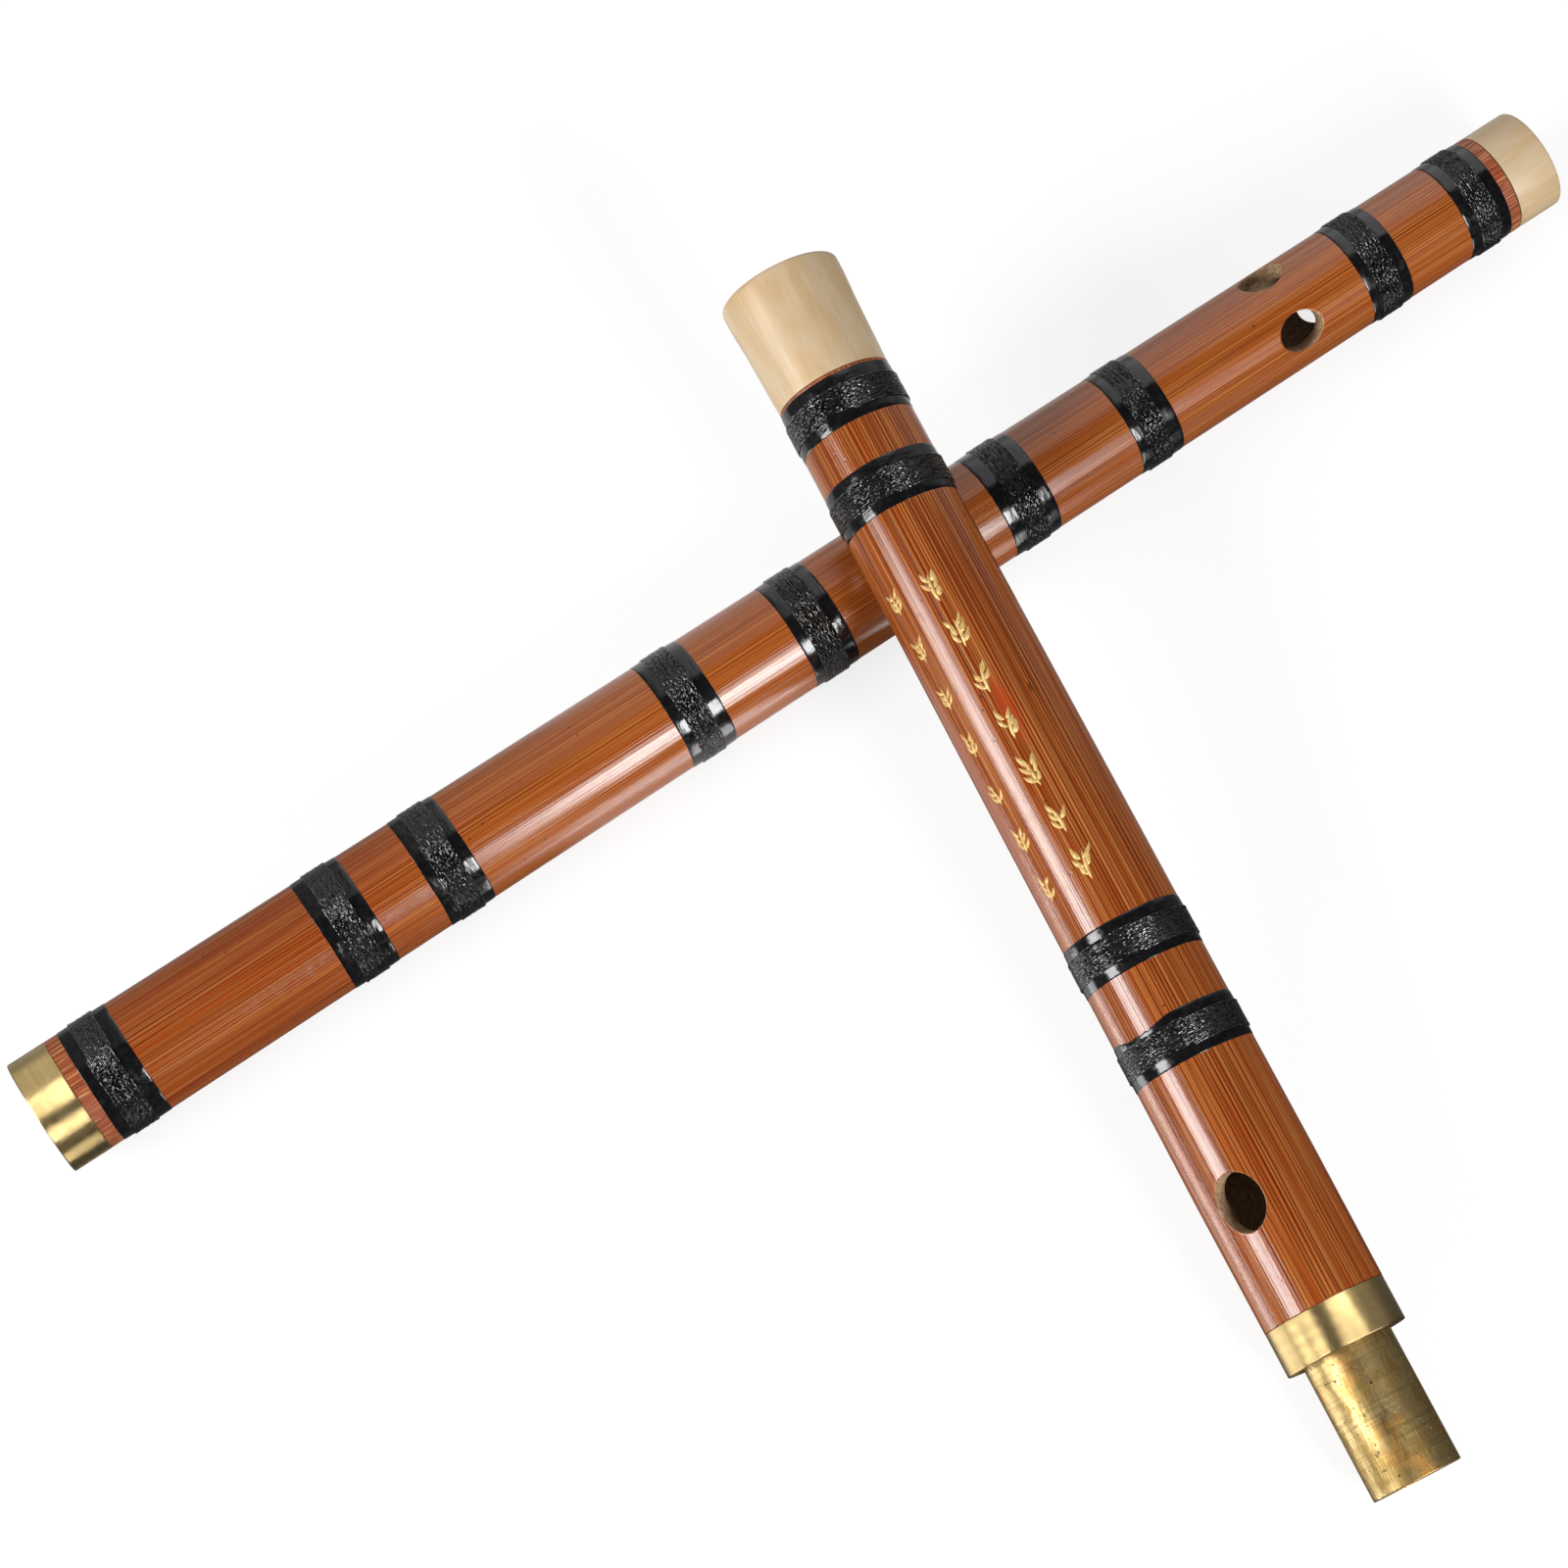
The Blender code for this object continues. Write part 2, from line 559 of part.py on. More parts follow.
def box_centre(head_start, slope):
    """Middle of the whole part's box on the plane, when the foot section starts at x = 0."""
    along_foot = foot_direction()
    along_head = head_direction(slope)
    low_x = along_foot.z * JOINT_RADIUS
    high_x = along_foot.x * FOOT_LENGTH - along_foot.z * foot_radius(FOOT_LENGTH)
    round_y = math.sqrt(1 - along_head.y ** 2)
    low_y = head_start.y - TENON_RADIUS * round_y
    high_y = head_start.y + along_head.y * HEAD_LENGTH + HEAD_CAP_RADIUS * round_y
    return Vector(((low_x + high_x) / 2, (low_y + high_y) / 2, 0.0))


def place_sections(group):
    """The empties of both sections, with the part's box centred over the origin."""
    slope = head_slope()
    along_foot = foot_direction()
    along_head = head_direction(slope)
    foot_start = Vector((0.0, 0.0, foot_start_height()))
    crossing = foot_start + along_foot * FOOT_CROSSING
    head_start = crossing - along_head * HEAD_CROSSING
    head_start.z = TENON_LIFT + TENON_RADIUS * math.cos(slope)
    centre = box_centre(head_start, slope)
    foot = section_empty("foot_axis", foot_start - centre, along_foot, group)
    head = section_empty("head_axis", head_start - centre, along_head, group)
    return foot, head


def build_bindings(bindings, radius_at, section, prefix, parts):
    """The lacquer band and the winding of each binding of a section."""
    windings = []
    for number, middle in enumerate(bindings, 1):
        lacquer_band(f"{prefix}_lacquer_{number}", middle, radius_at, section, parts)
        standing = prefix == "foot" and number - 1 in STANDING_BINDINGS
        rise = STANDING_THREAD_RISE if standing else THREAD_RISE
        winding = thread(f"{prefix}_thread_{number}", middle, radius_at, rise, section, parts)
        windings.append(winding)
    return windings


def shade_smooth(parts):
    """Apply the modifiers of each mesh piece, and shade it smooth with its edges over 40 degrees sharp."""
    bpy.context.view_layer.update()
    graph = bpy.context.evaluated_depsgraph_get()
    solids = [item for item in parts.objects if item.type == "MESH"]
    shapes = [bpy.data.meshes.new_from_object(item.evaluated_get(graph)) for item in solids]
    for item, shape in zip(solids, shapes):
        item.modifiers.clear()
        shape.name = item.name
        item.data = shape
        shape.shade_smooth()
        shape.set_sharp_from_angle(angle=math.radians(40))


def main():
    clear_scene()
    parts = make_collection("dizi")
    cutters = make_collection("cutters")
    foot, head = place_sections(parts)
    foot_tube(foot, parts, cutters)
    socket_ferrule(foot, parts)
    socket_lining(foot, parts)
    foot_end_cap(foot, parts)
    membrane(foot, parts)
    windings = build_bindings(FOOT_BINDINGS, foot_radius, foot, "foot", parts)
    bench = bench_cutter(cutters)
    bench.location = (0.0, foot.location.y, -JOINT_RADIUS / 2)
    for index in STANDING_BINDINGS:
        cut(as_mesh(windings[index], parts), bench)
    head_tube(head, parts, cutters)
    head_ferrule(head, parts)
    tenon(head, parts)
    head_end_cap(head, parts)
    stopper(head, parts)
    build_bindings(HEAD_BINDINGS, head_radius, head, "head", parts)
    shade_smooth(parts)


main()
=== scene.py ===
"""Looks of a dizi in two sections: lacquered bamboo, brass joint, black bindings and horn ends."""

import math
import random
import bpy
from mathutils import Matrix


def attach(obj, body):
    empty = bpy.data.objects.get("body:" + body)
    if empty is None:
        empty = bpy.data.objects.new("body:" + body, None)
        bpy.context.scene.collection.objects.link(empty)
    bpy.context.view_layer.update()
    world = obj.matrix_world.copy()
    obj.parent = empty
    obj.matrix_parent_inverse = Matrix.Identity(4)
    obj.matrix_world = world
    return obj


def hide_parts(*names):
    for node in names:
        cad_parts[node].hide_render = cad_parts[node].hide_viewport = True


bl_info = {
    "name": "Dizi Looks",
    "version": (1, 0, 0),
    "blender": (4, 5, 0),
    "location": "View3D > Sidebar > Dizi",
    "description": "Dresses the two sections of a dizi and sets up the table they lie on",
    "category": "Object",
}

import bpy
from bpy.props import FloatProperty, FloatVectorProperty, IntProperty, PointerProperty
from mathutils import Matrix, Vector, noise

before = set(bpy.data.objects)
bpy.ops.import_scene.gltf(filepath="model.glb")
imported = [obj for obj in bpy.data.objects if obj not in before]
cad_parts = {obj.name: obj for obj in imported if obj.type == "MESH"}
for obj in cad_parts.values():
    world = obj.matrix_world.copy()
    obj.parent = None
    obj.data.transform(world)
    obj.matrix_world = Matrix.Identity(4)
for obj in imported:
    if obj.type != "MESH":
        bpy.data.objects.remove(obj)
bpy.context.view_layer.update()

MM = 0.001
FULL_TURN = 2 * math.pi

# Sections: joint end and direction in metres, then lengths in millimetres
FOOT_START = Vector((-0.1769955, 0.0758012, 0.0124999))
FOOT_DIRECTION = Vector((0.9999915, 0.0, -0.0040959))
HEAD_START = Vector((-0.0031281, -0.1277050, 0.0088577))
HEAD_DIRECTION = Vector((0.1277471, 0.9835969, 0.1273493))
FOOT_LENGTH = 354.0
HEAD_LENGTH = 259.0
TENON_LENGTH = 26.8

# Radii in millimetres
JOINT_RADIUS = 12.05
FOOT_TAPER = 1.45
HEAD_SWELL = 0.17
HEAD_TAPER = 0.5
TURNED_RADIUS = 10.9
BORE_RADIUS = 8.1
FERRULE_SEAT = 11.15
LINING_RADIUS = 9.58
SOCKET_RADIUS = 8.98
TENON_RADIUS = 8.88
TENON_BORE = 8.28
SEAT_GAP = 0.3
FOOT_BORE_TAPER = 0.9
FOOT_BORE_LENGTH = 323.0

# Stations along a section in millimetres
SOCKET_DEPTH = 27.4
FOOT_FERRULE_END = 8.3
HEAD_FERRULE_END = TENON_LENGTH + 8.9
TENON_END = TENON_LENGTH + 17.0
SWELL_STATION = 62.0
FOOT_CAP_START = 344.0
HEAD_CAP_START = 234.8

# Bamboo tubes: start, shoulder, end, and the zones without lacquer
TUBES = {
    "foot": (1.2, 8.35, 343.7, ((1.2, 11.5), (341.0, 343.7))),
    "head": (28.0, 35.75, 234.6, ((28.0, 35.75), (233.6, 234.6))),
}

# Bindings: lacquer from and to, winding from and to
BINDINGS = {
    "foot": (
        (11.14, 21.84, 13.3, 19.1), (63.60, 73.96, 66.0, 71.7), (85.81, 95.94, 88.0, 93.8),
        (142.35, 152.60, 144.5, 150.2), (171.54, 181.66, 173.7, 179.4), (219.45, 230.29, 222.2, 227.9),
        (250.27, 260.11, 252.2, 257.6), (307.02, 316.77, 309.2, 314.6), (331.67, 341.40, 334.0, 339.2)),
    "head": (
        (223.99, 234.12, 226.0, 231.9), (205.21, 215.13, 207.1, 213.0),
        (105.64, 115.46, 107.4, 113.4), (85.82, 95.18, 87.6, 93.4)),
}

# Bindings whose lacquer is chipped: middle and width in degrees, depth in millimetres
CHIPPED = {("head", 4): (-42.0, 24.0, 1.0)}

# Sound holes: station, angle in degrees, half length, half width
FRONT = 189.7
HOLES = {
    "foot": (
        (46.52, FRONT, 4.6, 4.0),
        *((station, FRONT, 4.8, 4.0) for station in (111.01, 133.99, 161.99, 189.5, 211.52, 240.51)),
        *((station, FRONT, 4.2, 4.0) for station in (277.5, 301.91)),
        (291.1, -37.2, 4.8, 4.0),
        (291.1, 45.6, 4.8, 4.0)),
    "head": ((58.4, -31.7, 5.8, 4.65),),
}

# Fibres of the bamboo: width and length in millimetres, depth of the lines, bundles round the tube
FIBRES = {"foot": (0.28, 300.0, 0.8, 112), "head": (0.3, 200.0, 1.2, 104)}
FIBRE_SHIFT = {"foot": (3.0, 8.0, 20.0), "head": (-21.0, 5.0, 90.0)}


def section_matrix(start, direction):
    """Matrix of a section: +Z along it from its joint end, +X up."""
    forward = direction.normalized()
    up = (Vector((0, 0, 1)) - forward * forward.z).normalized()
    side = forward.cross(up)
    return Matrix.Translation(start) @ Matrix((up, side, forward)).transposed().to_4x4()


SECTIONS = {
    "foot": section_matrix(FOOT_START, FOOT_DIRECTION),
    "head": section_matrix(HEAD_START, HEAD_DIRECTION),
}


def foot_radius(station):
    """Outer radius of the foot bamboo in millimetres."""
    return JOINT_RADIUS - FOOT_TAPER * station / FOOT_LENGTH


def head_radius(station):
    """Outer radius of the head bamboo: it swells towards the blow hole, then tapers."""
    if station < SWELL_STATION:
        return JOINT_RADIUS + HEAD_SWELL * (station - TENON_LENGTH) / (SWELL_STATION - TENON_LENGTH)
    fall = (station - SWELL_STATION) / (HEAD_CAP_START - SWELL_STATION)
    return JOINT_RADIUS + HEAD_SWELL - HEAD_TAPER * fall


def foot_bore(station):
    """Inner radius of the foot bamboo: wide round the socket, then narrowing."""
    past_lining = station - SOCKET_DEPTH - SEAT_GAP
    if past_lining > 0:
        return BORE_RADIUS - FOOT_BORE_TAPER * past_lining / FOOT_BORE_LENGTH
    return LINING_RADIUS + SEAT_GAP


def head_bore(station):
    """Inner radius of the head bamboo: wider round the tenon."""
    tenon_seat_end = 44.2
    tenon_seat_radius = 9.15
    return BORE_RADIUS if station > tenon_seat_end else tenon_seat_radius


RADII = {"foot": foot_radius, "head": head_radius}
BORES = {"foot": foot_bore, "head": head_bore}


# Mesh tools

def local_point(station, radius, angle):
    """Point of a section in millimetres."""
    return Vector((radius * math.cos(angle), radius * math.sin(angle), station))


def new_object(name, data):
    """An object in the scene."""
    item = bpy.data.objects.new(name, data)
    bpy.context.scene.collection.objects.link(item)
    return item


def make_piece(name, section, points, faces, materials, slots=None, body=None, sharp=40.0):
    """A mesh piece from points in a section's millimetres, which rides on the section's body."""
    mesh = bpy.data.meshes.new(name)
    matrix = SECTIONS[section]
    mesh.from_pydata([matrix @ (Vector(point) * MM) for point in points], [], faces)
    for material in materials:
        mesh.materials.append(material)
    if slots:
        mesh.polygons.foreach_set("material_index", slots)
    mesh.shade_smooth()
    if sharp:
        mesh.set_sharp_from_angle(angle=math.radians(sharp))
    mesh.update()
    item = new_object(name, mesh)
    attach(item, body or section)
    return item


def rounded_outline(points, steps=4):
    """Outline of (radius, station, round) corners, each replaced by a short arc."""
    result = []
    for index, (radius, station, size) in enumerate(points):
        corner = Vector((radius, station))
        if size <= 0:
            result.append((radius, station))
            continue
        before = (Vector(points[index - 1][:2]) - corner).normalized()
        after = (Vector(points[(index + 1) % len(points)][:2]) - corner).normalized()
        start = corner + before * size
        end = corner + after * size
        for step in range(steps + 1):
            share = step / steps
            point = start * (1 - share) ** 2 + corner * 2 * share * (1 - share) + end * share ** 2
            result.append((point.x, point.y))
    return result


def strip(first, second, flip=False):
    """Faces between two closed rings of point numbers."""
    faces = []
    for index in range(len(first)):
        after = (index + 1) % len(first)
        if flip:
            faces.append((first[index], second[index], second[after], first[after]))
        else:
            faces.append((first[index], first[after], second[after], second[index]))
    return faces


def ring_faces(rings, size, closed=True, flip=False):
    """Faces between neighbouring rings whose points follow each other."""
    numbers = [range(ring * size, (ring + 1) * size) for ring in range(rings)]
    if closed:
        numbers.append(numbers[0])
    faces = []
    for first, second in zip(numbers, numbers[1:]):
        faces += strip(first, second, flip)
    return faces


def border(low, high, left, right):
    """The (row, column) points round a window of a grid."""
    points = [(low, column) for column in range(left, right)]
    points += [(row, right) for row in range(low, high)]
    points += [(high, column) for column in range(right, left, -1)]
    points += [(row, left) for row in range(high, low, -1)]
    return points


def slab_faces(rows, columns, start=0):
    """Faces of a thin sheet: an upper and a lower grid of points, and the edge between them."""
    wide = columns + 1
    layer = (rows + 1) * wide
    faces = []
    for row in range(rows):
        for column in range(columns):
            upper = start + row * wide + column
            lower = upper + layer
            faces.append((upper, upper + 1, upper + wide + 1, upper + wide))
            faces.append((lower + 1, lower, lower + wide, lower + wide + 1))
    edge = [start + row * wide + column for row, column in border(0, rows, 0, columns)]
    return faces + strip(edge, [number + layer for number in edge], flip=True)


def lathe(name, section, outline, material, columns, body=None):
    """A turned piece from a closed outline of (radius, station), outer side running down."""
    points = []
    for column in range(columns):
        angle = FULL_TURN * column / columns
        points += [local_point(station, radius, angle) for radius, station in outline]
    return make_piece(name, section, points, ring_faces(columns, len(outline)), [material], body=body)


def tube_rows(first, shoulder, last, holes, zones, margin):
    """Stations of a tube's mesh rows: even ones, and exact ones at its steps and round its holes."""
    even_rows = 80
    hole_rows = 5
    clearance = 0.8
    step_width = 0.03
    least_gap = 0.02
    fixed = [first, shoulder, shoulder + step_width, last]
    for zone in zones:
        fixed += zone
    for station, _, half_length, _ in holes:
        reach = half_length + margin
        fixed += [station + reach * part / hole_rows for part in range(-hole_rows, hole_rows + 1)]
    even = [first + (last - first) * index / even_rows for index in range(even_rows + 1)]
    even = [value for value in even if all(abs(value - other) > clearance for other in fixed)]
    rows = []
    for value in sorted(even + fixed):
        if first <= value <= last and (not rows or value - rows[-1] > least_gap):
            rows.append(value)
    return rows


def drilled_tube(name, section, materials, rim):
    """A bamboo tube with drilled holes whose rims are rounded, turned down before its shoulder.

    Its four materials are for the outside, the walls of the holes, the bore and the zones without lacquer."""
    outside, wall, bore, turned = range(4)
    columns = 160
    margin = 1.8
    first, shoulder, last, zones = TUBES[section]
    inner = BORES[section]

    def outer(station):
        return RADII[section](station) if station > shoulder else TURNED_RADIUS

    rows = tube_rows(first, shoulder, last, HOLES[section], zones, margin)

    def nearest(value):
        return min(range(len(rows)), key=lambda index: abs(rows[index] - value))

    step = FULL_TURN / columns
    windows = []
    blocked = set()
    for station, degrees, half_length, half_width in HOLES[section]:
        low = nearest(station - half_length - margin)
        high = nearest(station + half_length + margin)
        turn = math.radians(degrees) % FULL_TURN
        half_turn = (half_width + margin) / outer(station)
        left = math.floor((turn - half_turn) / step)
        right = math.ceil((turn + half_turn) / step)
        windows.append((border(low, high, left, right), station, turn, half_length, half_width))
        blocked.update((row, column % columns) for row in range(low, high) for column in range(left, right))
    points = []
    for radius_at in (outer, inner):
        for station in rows:
            points += [local_point(station, radius_at(station), column * step) for column in range(columns)]
    layer = len(rows) * columns

    def grid(row, column):
        return row * columns + column % columns

    faces = []
    slots = []
    for row in range(len(rows) - 1):
        middle = (rows[row] + rows[row + 1]) / 2
        bare = any(low <= middle <= high for low, high in zones)
        for column in range(columns):
            if (row, column) not in blocked:
                a = grid(row, column)
                b = grid(row, column + 1)
                c = grid(row + 1, column + 1)
                d = grid(row + 1, column)
                faces += [(a, b, c, d), (a + layer, d + layer, c + layer, b + layer)]
                slots += [turned if bare else outside, bore]
    top = len(rows) - 1
    for column in range(columns):
        ends = ((grid(0, column + 1), grid(0, column)), (grid(top, column), grid(top, column + 1)))
        faces += [(a, b, b + layer, a + layer) for a, b in ends]
        slots += [turned, turned]
    for window, station, turn, half_length, half_width in windows:
        rings = [[grid(row, column) for row, column in window]]
        kinds = []
        outward = Vector((math.cos(turn), math.sin(turn), 0))
        across = Vector((-math.sin(turn), math.cos(turn), 0))
        offsets = [(rows[row] - station, column * step - turn) for row, column in window]
        rays = []
        for along, swing in offsets:
            aim = math.atan2(outer(station) * math.sin(swing), along)
            reach = 1 / math.hypot(math.cos(aim) / half_length, math.sin(aim) / half_width)
            rays.append((math.cos(aim), math.sin(aim), reach))

        def next_ring(kind):
            rings.append(range(len(points), len(points) + len(window)))
            kinds.append(kind)

        def ring_on(radius_at, share, extra, kind):
            """A ring on the tube's surface, between the rim and the window's border."""
            next_ring(kind)
            for (along, swing), (cosine, sine, reach) in zip(offsets, rays):
                rim_along = (reach + extra) * cosine
                rim_swing = math.asin((reach + extra) * sine / radius_at(station))
                spot = station + rim_along + (along - rim_along) * share
                angle = turn + rim_swing + (swing - rim_swing) * share
                points.append(local_point(spot, radius_at(spot), angle))

        def ring_down(radius_at, size, part, way, kind):
            """A ring on the rounded rim, which turns from the surface into the hole's wall."""
            next_ring(kind)
            extra = size * (1 - math.sin(FULL_TURN / 4 * part / 4))
            depth = way * size * (1 - math.cos(FULL_TURN / 4 * part / 4))
            for cosine, sine, reach in rays:
                side = (reach + extra) * sine
                spot = station + (reach + extra) * cosine
                height = math.sqrt(radius_at(spot) ** 2 - side ** 2) + depth
                points.append(outward * height + across * side + Vector((0, 0, spot)))

        for share in (0.6, 0.3, 0.1):
            ring_on(outer, share, rim, outside)
        for part in range(5):
            ring_down(outer, rim, part, -1, outside if part < 3 else wall)
        for part in range(4, -1, -1):
            ring_down(inner, 0.6 * rim, part, 1, wall)
        for share in (0.1, 0.3, 0.6):
            ring_on(inner, share, 0.6 * rim, bore)
        rings.append([number + layer for number in rings[0]])
        kinds.append(bore)
        for first_ring, second_ring, kind in zip(rings, rings[1:], kinds):
            faces += strip(first_ring, second_ring)
            slots += [kind] * len(window)
    return make_piece(name, section, points, faces, materials, slots)


def smooth_noise(angle, seed, scale=1.6):
    """Noise that closes on itself round a ring."""
    return noise.noise(Vector((scale * math.cos(angle), scale * math.sin(angle), 7.3 * seed)))


def lacquer_ring(name, section, binding, seed, material, nick=None):
    """The lacquer of a binding: a thin ring with soft, slightly uneven edges."""
    low, high, thread_low, thread_high = binding
    radius_at = RADII[section]
    columns = 240
    under_thread = 0.12
    edge_shape = ((0.0, -0.25), (0.0, 0.01), (0.1, 0.06), (0.35, 0.09), (1.0, 0.1))
    points = []
    for column in range(columns):
        angle = FULL_TURN * column / columns
        low_edge = low + 0.13 * smooth_noise(angle, seed) + 0.05 * smooth_noise(angle, seed + 11, 9)
        high_edge = high + 0.13 * smooth_noise(angle, seed + 5) + 0.05 * smooth_noise(angle, seed + 17, 9)
        if nick:
            middle, width, depth = nick
            gap = (angle - math.radians(middle) + math.pi) % FULL_TURN - math.pi
            share = math.exp(-(gap / math.radians(width)) ** 4)
            high_edge -= share * (depth + 0.35 * smooth_noise(angle, seed + 23, 14))
        ring = []
        for inset, rise in edge_shape:
            station = low_edge + inset * min(1.0, thread_low - low_edge)
            ring.append((radius_at(station) + rise, station))
        ring += [(radius_at(station) + under_thread, station) for station in (thread_low, thread_high)]
        for inset, rise in reversed(edge_shape):
            station = high_edge - inset * min(1.0, high_edge - thread_high)
            ring.append((radius_at(station) + rise, station))
        points += [local_point(station, radius, angle) for radius, station in ring]
    return make_piece(name, section, points, ring_faces(columns, len(ring), flip=True), [material])


def winding(name, section, binding, seed, material, size, rise):
    """A binding's thread: one unbroken tube of many turns, lying side by side."""
    radius_at = RADII[section]
    columns = 144
    sides = 8
    low, high = binding[2:]
    turns = max(3, round((high - low) / size) - 1)
    pitch = (high - low - size) / turns
    half = size / 2
    draw = random.Random(seed)
    lift = [draw.uniform(-0.05, 0.03) for _ in range(turns + 2)]
    slip = [draw.uniform(-0.04, 0.04) for _ in range(turns + 2)]
    lift[0] = 0.04
    lift[turns - 1] = 0.05
    count = turns * columns
    points = []
    for index in range(count + 1):
        turn = index / columns
        angle = FULL_TURN * turn
        whole = int(turn)
        share = turn - whole
        station = low + half + pitch * turn + slip[whole] * (1 - share) + slip[whole + 1] * share
        height = lift[whole] * (1 - share) + lift[whole + 1] * share
        height += 0.03 * smooth_noise(angle, seed + whole, 6)
        centre = radius_at(station) + rise - half + height
        for side in range(sides):
            swing = FULL_TURN * side / sides
            radius = centre + half * math.cos(swing)
            points.append(local_point(station + half * math.sin(swing), radius, angle))
    faces = ring_faces(count + 1, sides, closed=False, flip=True)
    faces.append(tuple(range(sides)))
    faces.append(tuple(count * sides + side for side in reversed(range(sides))))
    return make_piece(name, section, points, faces, [material])


# Node tools

class Nodes:
    """A node tree, the position that its patterns follow, and short ways to add to it."""

    def __init__(self, tree):
        self.tree = tree
        self.vector = None

    def feed(self, socket, value):
        """Link a socket, or write a plain value on it."""
        if isinstance(value, bpy.types.NodeSocket):
            self.tree.links.new(value, socket)
        elif socket.type == "RGBA":
            socket.default_value = (*value, 1.0)
        else:
            socket.default_value = value

    def add(self, kind, values=None, **settings):
        """A node with its settings, and with values or links on its sockets."""
        item = self.tree.nodes.new(kind)
        for key, value in settings.items():
            setattr(item, key, value)
        for key, value in (values or {}).items():
            self.feed(item.inputs[key], value)
        return item

    def calc(self, operation, first, second=0.0):
        """A math node's result."""
        return self.add("ShaderNodeMath", {0: first, 1: second}, operation=operation).outputs[0]

    def times(self, first, second):
        """Two values multiplied."""
        return self.calc("MULTIPLY", first, second)

    def plus(self, first, second):
        """Two values added."""
        return self.calc("ADD", first, second)

    def minus(self, first, second):
        """The second value taken from the first."""
        return self.calc("SUBTRACT", first, second)

    def vector_calc(self, operation, first, second):
        """A vector math node's result."""
        return self.add("ShaderNodeVectorMath", {0: first, 1: second}, operation=operation).outputs[0]

    def parts(self, vector):
        """The three numbers of a vector."""
        return self.add("ShaderNodeSeparateXYZ", {0: vector}).outputs

    def coats(self, base, *coats):
        """A base colour with coats of (share, colour) laid over it in order."""
        for share, colour in coats:
            base = self.add("ShaderNodeMix", {0: share, 6: base, 7: colour}, data_type="RGBA").outputs[2]
        return base

    def spread(self, value, low, high, to_low=0.0, to_high=1.0):
        """A value carried smoothly from one range to another, held at its ends."""
        values = {"Value": value, "From Min": low, "From Max": high, "To Min": to_low, "To Max": to_high}
        return self.add("ShaderNodeMapRange", values, interpolation_type="SMOOTHSTEP").outputs["Result"]

    def noise(self, scale, detail=2.0, roughness=0.5, distortion=0.0, vector=None):
        """A noise texture's value; a scale of three numbers stretches it."""
        if vector is None:
            vector = self.vector
        if isinstance(scale, tuple):
            vector = self.vector_calc("MULTIPLY", vector, scale)
            scale = 1.0
        return self.add("ShaderNodeTexNoise", {
            "Vector": vector, "Scale": scale, "Detail": detail, "Roughness": roughness,
            "Distortion": distortion}).outputs["Fac"]


class Group(Nodes):
    """A node group that starts from a vector and other inputs, and puts out values."""

    def __init__(self, name, inputs, outputs):
        super().__init__(bpy.data.node_groups.new(name, "ShaderNodeTree"))
        face = self.tree.interface
        for label, value in {"Vector": (0.0, 0.0, 0.0), **inputs}.items():
            kind = "NodeSocketVector" if isinstance(value, tuple) else "NodeSocketFloat"
            face.new_socket(label, in_out="INPUT", socket_type=kind).default_value = value
        for label in outputs:
            face.new_socket(label, in_out="OUTPUT", socket_type="NodeSocketFloat")
        self.given = self.add("NodeGroupInput").outputs
        self.vector = self.given["Vector"]

    def put_out(self, **results):
        """Link the results to the outputs of the same names."""
        self.add("NodeGroupOutput", results)
        return self.tree


class Look(Nodes):
    """A Principled material whose patterns follow its object, or a section's millimetres."""

    def __init__(self, name, section=None):
        self.material = bpy.data.materials.new(name)
        self.material.use_nodes = True
        super().__init__(self.material.node_tree)
        self.shader = self.tree.nodes["Principled BSDF"]
        self.vector = self.add("ShaderNodeTexCoord").outputs["Object"]
        if section:
            matrix = SECTIONS[section]
            self.vector = self.add("ShaderNodeMapping", {
                "Vector": self.vector, "Location": matrix.to_translation(), "Rotation": matrix.to_euler(),
                "Scale": (MM, MM, MM)}, vector_type="TEXTURE").outputs["Vector"]

    def group(self, key, **values):
        """The outputs of a shared node group, placed with its own values and built when first used."""
        if key not in GROUPS:
            GROUPS[key] = GROUP_MAKERS[key]()
        return self.add("ShaderNodeGroup", {"Vector": self.vector, **values}, node_tree=GROUPS[key]).outputs

    def set(self, values):
        """Feed the shader's sockets."""
        for key, value in values.items():
            self.feed(self.shader.inputs[key], value)

    def done(self, base, roughness, height, distance, others=None):
        """The material, with its colour, its roughness and a bump whose distance is in metres."""
        bump = self.add("ShaderNodeBump", {"Strength": 1.0, "Distance": distance, "Height": height})
        self.set({"Base Color": base, "Roughness": roughness, "Normal": bump.outputs[0], **(others or {})})
        return self.material


def fibre_group():
    """Straight lengthwise fibres: tone, pale lines, dark lines and height."""
    group = Group("Lengthwise Fibres", {"Width": 0.5, "Length": 60.0, "Shift": (0.0, 0.0, 0.0)},
                  ("Tone", "Pale", "Dark", "Height"))
    narrow = group.calc("DIVIDE", 1.0, group.given["Width"])
    slow = group.calc("DIVIDE", 1.0, group.given["Length"])
    scale = group.add("ShaderNodeCombineXYZ", {0: narrow, 1: narrow, 2: slow})
    moved = group.vector_calc("ADD", group.vector, group.given["Shift"])
    fine = group.vector_calc("MULTIPLY", moved, scale.outputs[0])
    lines = []
    for stretch, shift in (((0.8, 0.8, 1.3), (31.0, 17.0, 5.0)), ((1.1, 1.1, 1.7), (-13.0, 41.0, 9.0))):
        place = group.vector_calc("ADD", group.vector_calc("MULTIPLY", fine, stretch), shift)
        lines.append(group.spread(group.noise(1.0, 0.0, vector=place), 0.57, 0.72))
    pale, dark = lines
    tone = group.noise(1.0, 0.0, vector=fine)
    height = group.plus(group.times(tone, 0.7), group.times(dark, -0.5))
    return group.put_out(Tone=tone, Pale=pale, Dark=dark, Height=height)


